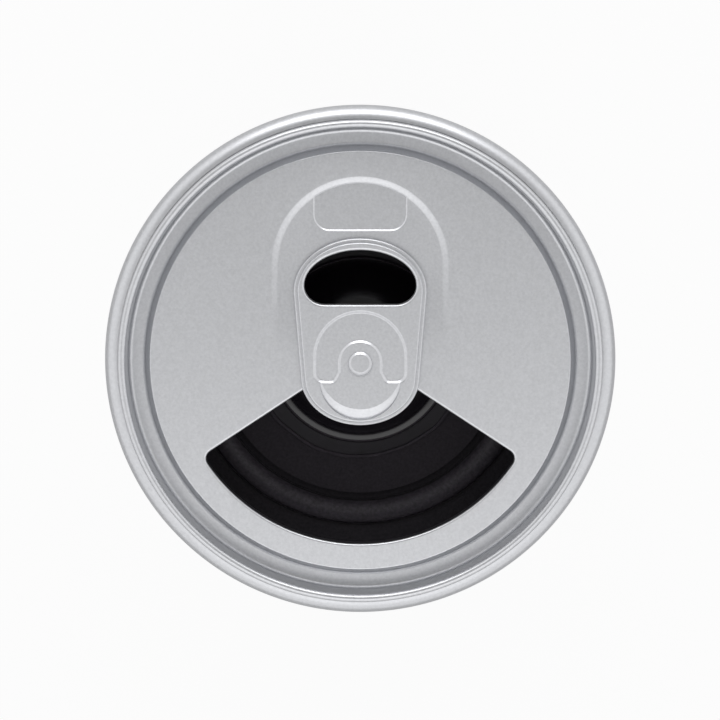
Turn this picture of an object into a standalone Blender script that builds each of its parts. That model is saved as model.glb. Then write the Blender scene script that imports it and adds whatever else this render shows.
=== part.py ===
"""A portable loudspeaker shaped like a drinks can. Metres, +Z up, origin under the middle of the foot ring.

The lid's mouth faces -Y and the control plate faces +Y. Radii run from the can's axis.
"""

from math import atan2, cos, degrees, pi, radians, sin, sqrt

import bmesh
import bpy
from mathutils import Matrix, Vector

MM = 0.001

# Driving dimensions of the can
CAN_R = 33.0 * MM
CAN_H = 115.0 * MM
SHELL_WALL = 1.0 * MM
GAP = 0.3 * MM
SHOULDER_W = 1.8 * MM
SHOULDER_H = 1.8 * MM
HEM_DROP = 1.4 * MM
NECK_W = 2.7 * MM
NECK_TOP = 10.2 * MM

# Lid, measured down from the crest of its bead
BEAD_W = 1.05 * MM
LID_WALL = 0.75 * MM
MOAT_DEPTH = 4.3 * MM
MOAT_W = 1.75 * MM
RISER_W = 0.95 * MM
PANEL_DEPTH = 2.1 * MM
PANEL_T = 1.7 * MM
MOAT_T = 1.6 * MM
SKIRT_T = 1.4 * MM
LIP_DEPTH = 15.8 * MM

# Mouth, hole and recesses of the lid, measured from the rivet
MOUTH_R = 23.8 * MM
MOUTH_INNER_R = 5.0 * MM
MOUTH_APEX_Y = 1.27 * MM
MOUTH_SLOPE = radians(33.5)
MOUTH_CORNER_R = 1.2 * MM
ARCH_R = 11.4 * MM
ARCH_Y = 12.5 * MM
ARCH_FADE_Y = 4.0 * MM
ARCH_DEEP = 0.5 * MM
WELL_HALF = 5.85 * MM
WELL_Y = 17.1 * MM
WELL_BORDER = 1.1 * MM
WELL_CORNER_R = 1.4 * MM
WELL_DEEP = 0.5 * MM
HOLE_MARGIN = 0.6 * MM

# Pull tab and its rivet
TAB_HALF = 8.54 * MM
TAB_TAIL_Y = 9.24 * MM
TAB_TAIL_H = 6.78 * MM
TAB_NOSE_HALF = 7.62 * MM
TAB_NOSE_Y = -2.0 * MM
TAB_NOSE_H = 6.1 * MM
TAB_T = 1.2 * MM
FINGER_HALF = 7.14 * MM
FINGER_Y = 10.0 * MM
FINGER_UP = 4.54 * MM
FINGER_DOWN = 2.65 * MM
FINGER_CORNER = 2.2 * MM
ISLAND_R = 5.9 * MM
ISLAND_Y = 0.8 * MM
ISLAND_FOOT_Y = -2.36 * MM
ISLAND_DEEP = 0.4 * MM
RIVET_R = 0.9 * MM
RIVET_HEAD_R = 1.5 * MM
RIVET_CLENCH_R = 1.9 * MM
RIVET_HEAD_T = 0.45 * MM

# Driver
SCREW_CIRCLE_IN = 6.5 * MM
LIP_W = 1.3 * MM
ROLL_R = 1.65 * MM
SURROUND_T = 0.3 * MM
CONE_T = 0.5 * MM
CONE_DROP = 3.2 * MM
CAP_BAND = 7.1 * MM
CAP_RISE = 3.0 * MM
CAP_T = 0.4 * MM
GLUE_W = 1.7 * MM
GLUE_T = 0.5 * MM
GLUE_EDGE_T = 0.15 * MM
FLANGE_T = 0.8 * MM
GASKET_T = 1.3 * MM
POLE_R = 7.0 * MM
COIL_GAP = 0.2 * MM
FORMER_T = 0.25 * MM
COIL_T = 0.4 * MM
COIL_H = 3.6 * MM
SPIDER_DROP = 11.4 * MM
SPIDER_T = 0.4 * MM
SPIDER_WAVE = 0.5 * MM
SPIDER_WAVES = 5
BASKET_H = 15.0 * MM
MAGNET_R = 17.5 * MM
MAGNET_T = 6.0 * MM
PLATE_T = 2.5 * MM
PLATE_IN = 1.0 * MM
MAGNET_HOLE_IN = 2.5 * MM
TERMINAL_HALF = 4.0 * MM
TERMINAL_T = 1.2 * MM

# Inner frame, base and electronics
BAFFLE_T = 2.0 * MM
LEG_R = 2.3 * MM
LEG_IN = 6.0 * MM
LEG_ANGLES = (30, 150, 270)
LID_SCREW_ANGLES = (90, 210, 330)
SCREW_R = 0.9 * MM
SCREW_HEAD_R = 1.8 * MM
SCREW_HEAD_T = 1.5 * MM
SCREW_POCKET = 2.2 * MM
PILOT_DEPTH = 12.0 * MM
BOSS_R = 2.2 * MM
FOOT_T = 1.8 * MM
FOOT_IN = 8.8 * MM
FOOT_W = 4.2 * MM
FOOT_SUNK = 0.6 * MM
BASE_FLANGE_T = 2.4 * MM
BASE_PLUG_T = 2.4 * MM
BOARD_Z = 14.0 * MM
BOARD_T = 1.6 * MM
BOARD_IN = 4.5 * MM
BOARD_POST_IN = 14.0 * MM
BOARD_POST_ANGLES = (45, 135, 270)
CHIP_PLACE = (-10.5 * MM, 8.5 * MM)
CHIP_W = 5.0 * MM
CHIP_T = 1.1 * MM
CAPACITOR_R = 2.5 * MM
CAPACITOR_H = 7.0 * MM
CAPACITOR_PLACES = ((11.0 * MM, 8.0 * MM), (11.0 * MM, -13.0 * MM))
PLATE_DROP = 1.0 * MM
PLATE_H = 14.0 * MM
PLATE_HALF_ANGLE = 30
PLATE_BACK = 0.7 * MM
PLATE_LAP = 1.2 * MM
SOCKET_FRONT_IN = 2.6 * MM
CONTROL_RISE = 1.9 * MM
JACK_ANGLE, USB_ANGLE = 72, 109
USB_SIZE = (8.8 * MM, 7.0 * MM, 3.4 * MM)
USB_WALL = 0.5 * MM
USB_TONGUE_T = 0.6 * MM
JACK_SIZE = (6.0 * MM, 10.8 * MM, 5.0 * MM)
JACK_NOSE_R = 2.6 * MM
JACK_BORE_R = 1.8 * MM
JACK_RISE = 0.6 * MM
SWITCH_SIZE = (7.0 * MM, 3.6 * MM, 3.6 * MM)
SWITCH_SLOT_DEPTH = 2.4 * MM
SWITCH_TRAVEL = 2.0 * MM
KNOB_W = 2.4 * MM
KNOB_H = 1.3 * MM
LED_R = 1.5 * MM
LED_DROP = 3.5 * MM
LED_IN = 1.2 * MM
CELL_W, CELL_T, CELL_H = 30.0 * MM, 6.0 * MM, 40.0 * MM
CELL_Y = -4.0 * MM
BRACKET_T = 1.5 * MM
BRACKET_H = 16.0 * MM
WIRE_R = 0.55 * MM

BIG, MEDIUM, SMALL = 48, 24, 12

# Radii that follow from the can
shell_in = CAN_R - SHELL_WALL
bead_r = CAN_R - SHOULDER_W
skirt_r = bead_r - 0.5 * MM
hem_r = skirt_r + GAP
wall_r = skirt_r - LID_WALL
riser_r = wall_r - MOAT_W
panel_r = riser_r - RISER_W
screw_circle = CAN_R - SCREW_CIRCLE_IN
leg_circle = CAN_R - LEG_IN
base_r = CAN_R - NECK_W
flange_r = screw_circle + 2.0 * MM
surround_r = screw_circle - 3.5 * MM
lip_r = surround_r + LIP_W
joint_r = surround_r - 2 * ROLL_R
cone_r = joint_r - 0.3 * MM
cap_r = cone_r - CAP_BAND
former_in = POLE_R + GAP
former_out = former_in + FORMER_T
coil_in = former_out + COIL_GAP
coil_out = coil_in + COIL_T
neck_r = former_out + GAP

# Heights that follow from the can
panel_z = CAN_H - PANEL_DEPTH
panel_under = panel_z - PANEL_T
moat_z = CAN_H - MOAT_DEPTH
moat_under = moat_z - MOAT_T
hem_z = CAN_H - HEM_DROP
lip_z = CAN_H - LIP_DEPTH
flange_z = lip_z - GAP
baffle_z = flange_z - FLANGE_T - GAP
skirt_z = lip_z + GASKET_T + GAP
spider_z = lip_z - SPIDER_DROP
basket_z = lip_z - BASKET_H
top_plate_z = basket_z - GAP
magnet_z = top_plate_z - PLATE_T - GAP
yoke_z = magnet_z - MAGNET_T - GAP
tab_z = panel_z + GAP
tab_top = tab_z + TAB_T
base_z = FOOT_T - FOOT_SUNK
shell_z = base_z + BASE_FLANGE_T + GAP
floor_z = shell_z - GAP + BASE_PLUG_T
pocket_z = base_z + SCREW_POCKET
board_top = BOARD_Z + BOARD_T
part_z = board_top + GAP
plate_low = BOARD_Z - PLATE_DROP
plate_high = plate_low + PLATE_H
control_z = part_z + CONTROL_RISE
led_z = plate_high - LED_DROP
front_y = CAN_R - SOCKET_FRONT_IN
tag_x = surround_r + 0.2 * MM
slot_half = (KNOB_W + SWITCH_TRAVEL) / 2 + GAP


def new_material(name, colour, roughness, metallic=0.0):
    material = bpy.data.materials.new(name)
    material.use_nodes = True
    shader = material.node_tree.nodes["Principled BSDF"]
    shader.inputs["Base Color"].default_value = (*colour, 1.0)
    shader.inputs["Roughness"].default_value = roughness
    shader.inputs["Metallic"].default_value = metallic
    return material


def finish_mesh(bm, name, material):
    """Turns the faces outwards, shades them smooth and links the object."""
    bmesh.ops.remove_doubles(bm, verts=bm.verts, dist=1e-7)
    bmesh.ops.recalc_face_normals(bm, faces=bm.faces)
    mesh = bpy.data.meshes.new(name)
    bm.to_mesh(mesh)
    bm.free()
    mesh.shade_smooth()
    mesh.set_sharp_from_angle(angle=radians(35))
    if material:
        mesh.materials.append(material)
    obj = bpy.data.objects.new(name, mesh)
    bpy.context.scene.collection.objects.link(obj)
    return obj


def lathe(name, profile, material, steps=MEDIUM, centre=(0.0, 0.0)):
    """Turns a closed profile of (radius, z) points about a vertical axis.

    A small piece starts a third of a step round, so that its edges miss those of the ring it cuts.
    """
    bm = bmesh.new()
    phase = 0 if steps > SMALL else 0.37
    rings = []
    for r, z in profile:
        if r < 1e-9:
            rings.append([bm.verts.new((centre[0], centre[1], z))] * steps)
            continue
        turns = [2 * pi * (i + phase) / steps for i in range(steps)]
        rings.append([bm.verts.new((centre[0] + r * cos(a), centre[1] + r * sin(a), z)) for a in turns])
    for low, high in zip(rings, rings[1:] + rings[:1]):
        for i in range(steps):
            corners = (low[i], low[(i + 1) % steps], high[(i + 1) % steps], high[i])
            unique = list(dict.fromkeys(corners))
            if len(unique) > 2:
                bm.faces.new(unique)
    return finish_mesh(bm, name, material)


def prism(name, outline, z0, z1, material):
    """Extrudes a closed (x, y) outline from z0 up to z1."""
    bm = bmesh.new()
    base = bm.faces.new([bm.verts.new((x, y, z0)) for x, y in outline])
    raised = bmesh.ops.extrude_face_region(bm, geom=[base])
    tops = [v for v in raised["geom"] if isinstance(v, bmesh.types.BMVert)]
    bmesh.ops.translate(bm, verts=tops, vec=(0, 0, z1 - z0))
    return finish_mesh(bm, name, material)


def cylinder(name, x, y, r, z0, z1, material, steps=SMALL):
    return lathe(name, [(0, z0), (r, z0), (r, z1), (0, z1)], material, steps, (x, y))


def box(name, low, high, material):
    outline = [(low[0], low[1]), (high[0], low[1]), (high[0], high[1]), (low[0], high[1])]
    return prism(name, outline, low[2], high[2], material)


def sector(name, r0, r1, z0, z1, centre_angle, half_angle, material, steps=12):
    """A curved plate: the part of a tube wall within half_angle degrees of centre_angle."""
    angles = [radians(centre_angle - half_angle + 2 * half_angle * i / steps) for i in range(steps + 1)]
    outline = [(r1 * cos(a), r1 * sin(a)) for a in angles]
    outline += [(r0 * cos(a), r0 * sin(a)) for a in reversed(angles)]
    return prism(name, outline, z0, z1, material)


def combine(target, tool, operation):
    """Applies a Boolean of tool to target and deletes tool.

    The exact solver leaves open edges on the gasket and the base cap, and the manifold one closes them.
    """
    step = target.modifiers.new(operation, "BOOLEAN")
    step.operation = operation
    step.solver = "MANIFOLD"
    step.object = tool
    bpy.context.view_layer.update()
    graph = bpy.context.evaluated_depsgraph_get()
    old = target.data
    target.data = bpy.data.meshes.new_from_object(target.evaluated_get(graph))
    target.modifiers.clear()
    bpy.data.meshes.remove(old)
    bpy.data.objects.remove(tool)
    return target


def cut(target, tool):
    return combine(target, tool, "DIFFERENCE")


def weld(target, tool):
    return combine(target, tool, "UNION")


def around(radius, angle):
    return radius * cos(radians(angle)), radius * sin(radians(angle))


def arc(cx, cy, rx, ry, start, end, steps):
    """Points of an elliptic arc from start to end degrees."""
    turns = [radians(start + (end - start) * i / steps) for i in range(steps + 1)]
    return [(cx + rx * cos(a), cy + ry * sin(a)) for a in turns]


def ring(r0, r1, z0, z1):
    """The profile of a ring of rectangular section."""
    return [(r0, z0), (r1, z0), (r1, z1), (r0, z1)]


def turn_about_z(obj, angle):
    """Turns the mesh about the can's axis, so that +Y comes to the given angle."""
    obj.data.transform(Matrix.Rotation(radians(angle - 90), 4, "Z"))
    return obj


def set_origin(obj, point):
    """Puts the object's origin on a point, such as its joint's axis, and leaves the mesh in place."""
    obj.data.transform(Matrix.Translation(-Vector(point)))
    obj.location = point


def angle_of(vector):
    """The vector's direction in degrees from +X, from -180 to 180."""
    return degrees(atan2(vector.y, vector.x))


def mouth_outline():
    """The fan: two straight sides from the apex, rounded outer corners and an arc at each end."""
    side = Vector((cos(MOUTH_SLOPE), -sin(MOUTH_SLOPE)))
    inward = Vector((-sin(MOUTH_SLOPE), -cos(MOUTH_SLOPE)))
    apex = Vector((0, MOUTH_APEX_Y))
    start = apex + MOUTH_CORNER_R * inward
    corner = start + along_ray(start, side, MOUTH_R - MOUTH_CORNER_R) * side
    outer_angle = angle_of(corner)
    inner_angle = angle_of(apex + along_ray(apex, side, MOUTH_INNER_R) * side)
    right = arc(*corner, MOUTH_CORNER_R, MOUTH_CORNER_R, angle_of(-inward), outer_angle, 4)
    outer = arc(0, 0, MOUTH_R, MOUTH_R, outer_angle, -180 - outer_angle, 20)[1:-1]
    left = [(-x, y) for x, y in reversed(right)]
    return right + outer + left + arc(0, 0, MOUTH_INNER_R, MOUTH_INNER_R, -180 - inner_angle, inner_angle, 6)


def along_ray(start, direction, radius):
    """How far along a ray it crosses the circle of a radius about the origin."""
    nearest = start.dot(direction)
    return -nearest + sqrt(nearest**2 - start.length_squared + radius**2)


def finger_outline(more):
    """The D-shaped finger hole, grown by a margin all round."""
    straight = FINGER_HALF - FINGER_CORNER
    points = arc(0, FINGER_Y, FINGER_HALF + more, FINGER_UP + more, 0, 180, 12)
    points += arc(-straight, FINGER_Y, FINGER_CORNER + more, FINGER_DOWN + more, 180, 270, 4)[1:]
    points += arc(straight, FINGER_Y, FINGER_CORNER + more, FINGER_DOWN + more, 270, 360, 4)[:-1]
    return points


def tab_outline():
    tail = arc(0, TAB_TAIL_Y, TAB_HALF, TAB_TAIL_H, -6, 186, 16)
    nose = arc(0, TAB_NOSE_Y, TAB_NOSE_HALF, TAB_NOSE_H, 184, 356, 14)
    return tail + nose


def arch_recess():
    """The arch-shaped sink round the tab: deepest at its top, level with the panel where it fades out."""
    top_y = ARCH_Y + ARCH_R
    outline = arc(0, ARCH_Y, ARCH_R, ARCH_R, 0, 180, 16) + [(-ARCH_R, ARCH_FADE_Y), (ARCH_R, ARCH_FADE_Y)]
    tool = prism("arch_tool", outline, panel_z, panel_z + MM, SILVER)
    for vertex in tool.data.vertices:
        if vertex.co.z < panel_z + MM / 2:
            vertex.co.z -= ARCH_DEEP * (vertex.co.y - ARCH_FADE_Y) / (top_y - ARCH_FADE_Y)
    return tool


def well_outline():
    well_arc = ARCH_R - WELL_BORDER
    side = angle_of(Vector((WELL_HALF, sqrt(well_arc**2 - WELL_HALF**2))))
    corner_x, corner_y = WELL_HALF - WELL_CORNER_R, WELL_Y + WELL_CORNER_R
    points = arc(0, ARCH_Y, well_arc, well_arc, side, 180 - side, 8)
    points += arc(-corner_x, corner_y, WELL_CORNER_R, WELL_CORNER_R, 180, 270, 4)
    return points + arc(corner_x, corner_y, WELL_CORNER_R, WELL_CORNER_R, 270, 360, 4)


def make_shell():
    shoulder = [
        (CAN_R - SHOULDER_W + SHOULDER_W * cos(a), hem_z - SHOULDER_H + SHOULDER_H * sin(a))
        for a in (0, pi / 6, pi / 3, pi / 2)
    ]
    neck = [(0.0, 0.0), (0.1, 0.2), (0.48, 0.59), (0.89, 0.84), (1.0, 1.0)]
    rise = NECK_TOP - shell_z
    outside = [(base_r + w * NECK_W, shell_z + h * rise) for w, h in neck]
    inside = [(r - SHELL_WALL, z) for r, z in reversed(outside)]
    hem_low = hem_z - SHELL_WALL
    under = [(hem_r, hem_z), (hem_r, hem_low), (hem_r + 0.4 * MM, hem_low), (shell_in, hem_z - SHOULDER_H)]
    profile = outside + shoulder + under + inside
    shell = lathe("body_shell", profile, ALUMINIUM, BIG)
    past_wall = 2 * MM
    cut(shell, sector("window", shell_in - past_wall, CAN_R + past_wall, plate_low, plate_high, 90,
                      PLATE_HALF_ANGLE, ALUMINIUM))


def make_lid():
    crest_r = bead_r - BEAD_W / 2
    bead = arc(crest_r, CAN_H - BEAD_W / 2, BEAD_W / 2, BEAD_W / 2, 0, 180, 6)
    profile = [(0, panel_under), (0, panel_z), (panel_r, panel_z), (riser_r, moat_z), (wall_r, moat_z)]
    profile += list(reversed(bead)) + [(bead_r, hem_z + GAP), (skirt_r, hem_z + GAP), (skirt_r, skirt_z)]
    profile += [(skirt_r - SKIRT_T, skirt_z), (skirt_r - SKIRT_T, moat_under), (riser_r - MM, moat_under)]
    profile += [(panel_r - 1.5 * MM, panel_under)]
    lid = lathe("lid", profile, SILVER, BIG)
    for angle in LID_SCREW_ANGLES:
        x, y = around(screw_circle, angle)
        weld(lid, cylinder("boss", x, y, BOSS_R, skirt_z, moat_z - GAP, SILVER, 12))
        cut(lid, cylinder("pilot", x, y, SCREW_R + GAP, skirt_z - MM, moat_under - 0.6 * MM, SILVER, 12))
    cut(lid, arch_recess())
    cut(lid, prism("well", well_outline(), panel_z - ARCH_DEEP - WELL_DEEP, panel_z + MM, SILVER))
    cut(lid, prism("mouth", mouth_outline(), panel_under - MM, panel_z + MM, SILVER))
    cut(lid, prism("hole", finger_outline(HOLE_MARGIN), panel_under - MM, panel_z + MM, SILVER))
    cut(lid, cylinder("rivet_hole", 0, 0, RIVET_R + GAP, panel_under - MM, panel_z + MM, SILVER))


def make_tab():
    tab = prism("pull_tab", tab_outline(), tab_z, tab_top, SILVER)
    cut(tab, prism("finger", finger_outline(0), tab_z - MM, tab_top + MM, SILVER))
    island = arc(0, ISLAND_Y, ISLAND_R, ISLAND_R, 0, 180, 12)
    island += [(-ISLAND_R, ISLAND_FOOT_Y), (ISLAND_R, ISLAND_FOOT_Y)]
    cut(tab, prism("island", island, tab_top - ISLAND_DEEP, tab_top + MM, SILVER))
    cut(tab, cylinder("hole", 0, 0, RIVET_R + GAP, tab_z - MM, tab_top + MM, SILVER))
    set_origin(tab, (0, 0, tab_z))


def make_rivet():
    head_z = tab_top - ISLAND_DEEP + GAP
    profile = [(0, head_z + RIVET_HEAD_T), (RIVET_HEAD_R * 0.75, head_z + RIVET_HEAD_T)]
    profile += [(RIVET_HEAD_R, head_z + RIVET_HEAD_T * 0.4), (RIVET_HEAD_R, head_z), (RIVET_R, head_z)]
    clench_z = panel_under - GAP
    profile += [(RIVET_R, clench_z), (RIVET_CLENCH_R, clench_z), (RIVET_CLENCH_R, clench_z - 0.6 * MM)]
    lathe("tab_rivet", profile + [(0, clench_z - 0.6 * MM)], SILVER, SMALL)


def surround_profile():
    """A half roll between the cone's lip and the outer lip, of even thickness."""
    crest = lip_z + SURROUND_T
    middle = surround_r - ROLL_R
    outer = arc(middle, lip_z, ROLL_R, ROLL_R, 0, 180, 6)
    inner = arc(middle, lip_z, ROLL_R - SURROUND_T, ROLL_R - SURROUND_T, 180, 0, 6)
    lip_low = lip_z - CONE_T - GAP - SURROUND_T
    inside = [(joint_r, lip_low + SURROUND_T), (joint_r - LIP_W, lip_low + SURROUND_T)]
    inside += [(joint_r - LIP_W, lip_low), (joint_r + SURROUND_T, lip_low)]
    return [(lip_r, lip_z), (lip_r, crest), (surround_r, crest)] + outer[1:] + inside + inner[1:]


def cone_height(r):
    """Height of the cone's upper face at a radius."""
    return lip_z - CONE_DROP * (cone_r - r) / (cone_r - neck_r)


def make_moving_driver():
    lathe("surround", surround_profile(), FOAM_RUBBER)
    cone = [(cone_r, lip_z), (neck_r, cone_height(neck_r))]
    lathe("cone", cone + [(r, z - CONE_T) for r, z in reversed(cone)], CONE_PAPER)
    cap_edge = cone_height(cap_r) + GAP
    dome = arc(0, cap_edge, cap_r, CAP_RISE, 0, 67.5, 3) + [(0, cap_edge + CAP_RISE)]
    rise = CAP_RISE - CAP_T
    hollow = [(0, cap_edge + rise)] + arc(0, cap_edge, cap_r - CAP_T, rise, 67.5, 0, 3)
    lathe("dust_cap", dome + hollow, CAP_PAPER)
    bead_in, bead_out = cap_r + GAP, cap_r + GAP + GLUE_W
    low_in, low_out = cone_height(bead_in) + GAP, cone_height(bead_out) + GAP
    bead_points = [(bead_in, low_in), (bead_in, low_in + GLUE_T), (bead_out, low_out + GLUE_EDGE_T)]
    bead_points += [(bead_out, low_out)]
    lathe("cap_glue_bead", bead_points, GLUE)
    former_top = cone_height(neck_r) - 0.1 * MM
    former_low = top_plate_z - PLATE_T - 0.7 * MM
    lathe("voice_coil_former", ring(former_in, former_out, former_low, former_top), KRAFT)
    coil_low = top_plate_z - PLATE_T / 2 - COIL_H / 2
    lathe("voice_coil", ring(coil_in, coil_out, coil_low, coil_low + COIL_H), COPPER)
    set_origin(bpy.data.objects["cone"], (0, 0, lip_z))


def make_spider():
    """A corrugated disc from the former out to the basket's ledge."""
    inner = former_out + GAP
    step = (surround_r - 4.5 * MM - inner) / SPIDER_WAVES
    rises = [SPIDER_WAVE * (i % 2) for i in range(SPIDER_WAVES)] + [0]
    top = [(inner + step * i, spider_z + rise) for i, rise in enumerate(rises)]
    lathe("spider", top + [(r, z + SPIDER_T) for r, z in reversed(top)], SPIDER_CLOTH)


def make_basket():
    ledge_out = surround_r - 3.0 * MM
    ledge_in = surround_r - 6.4 * MM
    hole = coil_out + GAP
    ledge_z = spider_z - GAP
    wall = FLANGE_T
    upper = [(flange_r, flange_z - wall), (flange_r, flange_z), (surround_r + 0.5 * MM, flange_z)]
    inside = [(surround_r + 0.5 * MM, flange_z - wall), (ledge_out - wall, ledge_z), (ledge_in, ledge_z)]
    inside += [(ledge_in, basket_z + wall), (hole, basket_z + wall), (hole, basket_z)]
    outside = [(ledge_in + wall, basket_z), (ledge_in + wall, ledge_z - wall), (ledge_out, ledge_z - wall)]
    outside += [(surround_r + 1.3 * MM, flange_z - wall)]
    basket = lathe("driver_basket", upper + inside + outside, BLACK_STEEL)
    for angle in (0, 180):
        cut(basket, sector("window", ledge_out - 3 * MM, surround_r + 3 * MM, ledge_z + 2 * MM,
                           flange_z - 3 * MM, angle, 25, BLACK_STEEL, 4))
    for angle in LID_SCREW_ANGLES:
        x, y = around(screw_circle, angle)
        cut(basket, cylinder("hole", x, y, SCREW_R + GAP, flange_z - 2 * MM, flange_z + MM, BLACK_STEEL, 12))


def make_motor():
    plate_r = MAGNET_R - PLATE_IN
    lathe("top_plate", ring(coil_out + GAP, plate_r, top_plate_z - PLATE_T, top_plate_z), ZINC)
    magnet = ring(POLE_R + MAGNET_HOLE_IN, MAGNET_R, magnet_z - MAGNET_T, magnet_z)
    lathe("ring_magnet", magnet, FERRITE)
    yoke = [(0, yoke_z - PLATE_T), (plate_r, yoke_z - PLATE_T), (plate_r, yoke_z), (POLE_R, yoke_z)]
    lathe("yoke", yoke + [(POLE_R, top_plate_z), (0, top_plate_z)], ZINC)


def make_frame():
    hole_r = surround_r + 1.3 * MM + GAP
    frame = lathe("inner_frame", ring(hole_r, skirt_r, baffle_z - BAFFLE_T, baffle_z), BLACK_ABS)
    leg_z = floor_z + GAP
    for angle in LEG_ANGLES:
        x, y = around(leg_circle, angle)
        weld(frame, cylinder("leg", x, y, LEG_R, leg_z, baffle_z - BAFFLE_T / 2, BLACK_ABS, 12))
        cut(frame, cylinder("pilot", x, y, SCREW_R + GAP, leg_z - MM, leg_z + PILOT_DEPTH, BLACK_ABS, 12))
    for angle in LID_SCREW_ANGLES:
        x, y = around(screw_circle, angle)
        cut(frame, cylinder("hole", x, y, SCREW_R + GAP, baffle_z - 3 * MM, baffle_z + MM, BLACK_ABS, 12))


def make_gasket():
    gasket = lathe("driver_gasket", ring(lip_r + GAP, flange_r, lip_z, lip_z + GASKET_T), FOAM_RUBBER)
    for angle in LID_SCREW_ANGLES:
        x, y = around(screw_circle, angle)
        cut(gasket, cylinder("hole", x, y, SCREW_R + GAP, lip_z - MM, lip_z + 3 * MM, FOAM_RUBBER, 12))


def make_screw(name, x, y, head_z, tip_z):
    """A pan-head screw that points up: its head hangs below head_z and its shank reaches tip_z."""
    profile = [(0, head_z - SCREW_HEAD_T), (SCREW_HEAD_R * 0.8, head_z - SCREW_HEAD_T)]
    profile += [(SCREW_HEAD_R, head_z - SCREW_HEAD_T * 0.6), (SCREW_HEAD_R, head_z), (SCREW_R, head_z)]
    profile += [(SCREW_R, tip_z - 0.5 * MM), (SCREW_R * 0.5, tip_z), (0, tip_z)]
    lathe(name, profile, ZINC, 12, (x, y))


def make_screws():
    for i, angle in enumerate(LID_SCREW_ANGLES):
        x, y = around(screw_circle, angle)
        make_screw(f"lid_screw_{i + 1}", x, y, baffle_z - BAFFLE_T - GAP, moat_under - MM)
    for i, angle in enumerate(LEG_ANGLES):
        x, y = around(leg_circle, angle)
        make_screw(f"base_screw_{i + 1}", x, y, pocket_z - GAP, floor_z + PILOT_DEPTH - MM)
    for i, angle in enumerate(BOARD_POST_ANGLES):
        x, y = around(CAN_R - BOARD_POST_IN, angle)
        screw_z = board_top + GAP
        head_z, tip_z = screw_z + SCREW_HEAD_T, BOARD_Z - 6 * MM
        profile = [(0, head_z), (SCREW_HEAD_R, head_z), (SCREW_HEAD_R, screw_z), (SCREW_R, screw_z)]
        profile += [(SCREW_R, tip_z), (0, tip_z)]
        lathe(f"board_screw_{i + 1}", profile, ZINC, 12, (x, y))


def make_base():
    foot_out = CAN_R - FOOT_IN
    foot_in = foot_out - FOOT_W
    lathe("foot_ring", ring(foot_in, foot_out, 0, FOOT_T), RUBBER)
    groove = FOOT_T + GAP
    flange_top = shell_z - GAP
    plug_r = base_r - SHELL_WALL - GAP
    pocket_r = leg_circle - LEG_R - 1.2 * MM
    profile = [(0, base_z), (foot_in - GAP, base_z), (foot_in - GAP, groove), (foot_out + GAP, groove)]
    profile += [(foot_out + GAP, base_z), (base_r - 0.8 * MM, base_z), (base_r, base_z + 0.8 * MM)]
    profile += [(base_r, flange_top), (plug_r, flange_top), (plug_r, floor_z), (pocket_r, floor_z)]
    profile += [(pocket_r, pocket_z + MM), (0, pocket_z + MM)]
    base = lathe("base_cap", profile, BLACK_ABS, BIG)
    for angle in LEG_ANGLES:
        x, y = around(leg_circle, angle)
        cut(base, cylinder("hole", x, y, SCREW_R + GAP, base_z - MM, floor_z + MM, BLACK_ABS, 12))
        cut(base, cylinder("sink", x, y, SCREW_HEAD_R + GAP, base_z - MM, pocket_z, BLACK_ABS, 12))
    for angle in BOARD_POST_ANGLES:
        x, y = around(CAN_R - BOARD_POST_IN, angle)
        weld(base, cylinder("post", x, y, BOSS_R, pocket_z + 0.5 * MM, BOARD_Z - GAP, BLACK_ABS, 12))
        cut(base, cylinder("pilot", x, y, SCREW_R + GAP, BOARD_Z - 7 * MM, BOARD_Z + MM, BLACK_ABS, 12))


def make_board():
    board = cylinder("circuit_board", 0, 0, CAN_R - BOARD_IN, BOARD_Z, board_top, FR4, MEDIUM)
    for angle in LEG_ANGLES:
        x, y = around(leg_circle, angle)
        cut(board, cylinder("notch", x, y, LEG_R + GAP, BOARD_Z - MM, board_top + MM, FR4, 12))
        x, y = around(CAN_R - BOARD_IN, angle)
        cut(board, cylinder("relief", x, y, LEG_R + GAP, BOARD_Z - MM, board_top + MM, FR4, 12))
    for angle in BOARD_POST_ANGLES:
        x, y = around(CAN_R - BOARD_POST_IN, angle)
        cut(board, cylinder("hole", x, y, SCREW_R + GAP, BOARD_Z - MM, board_top + MM, FR4, 12))
    x, y = CHIP_PLACE
    low, high = (x - CHIP_W / 2, y - CHIP_W / 2, part_z), (x + CHIP_W / 2, y + CHIP_W / 2, part_z + CHIP_T)
    box("amplifier_chip", low, high, BLACK_ABS)
    for i, (x, y) in enumerate(CAPACITOR_PLACES):
        cylinder(f"filter_capacitor_{i + 1}", x, y, CAPACITOR_R, part_z, part_z + CAPACITOR_H, CAN_ALUMINIUM)


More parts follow.
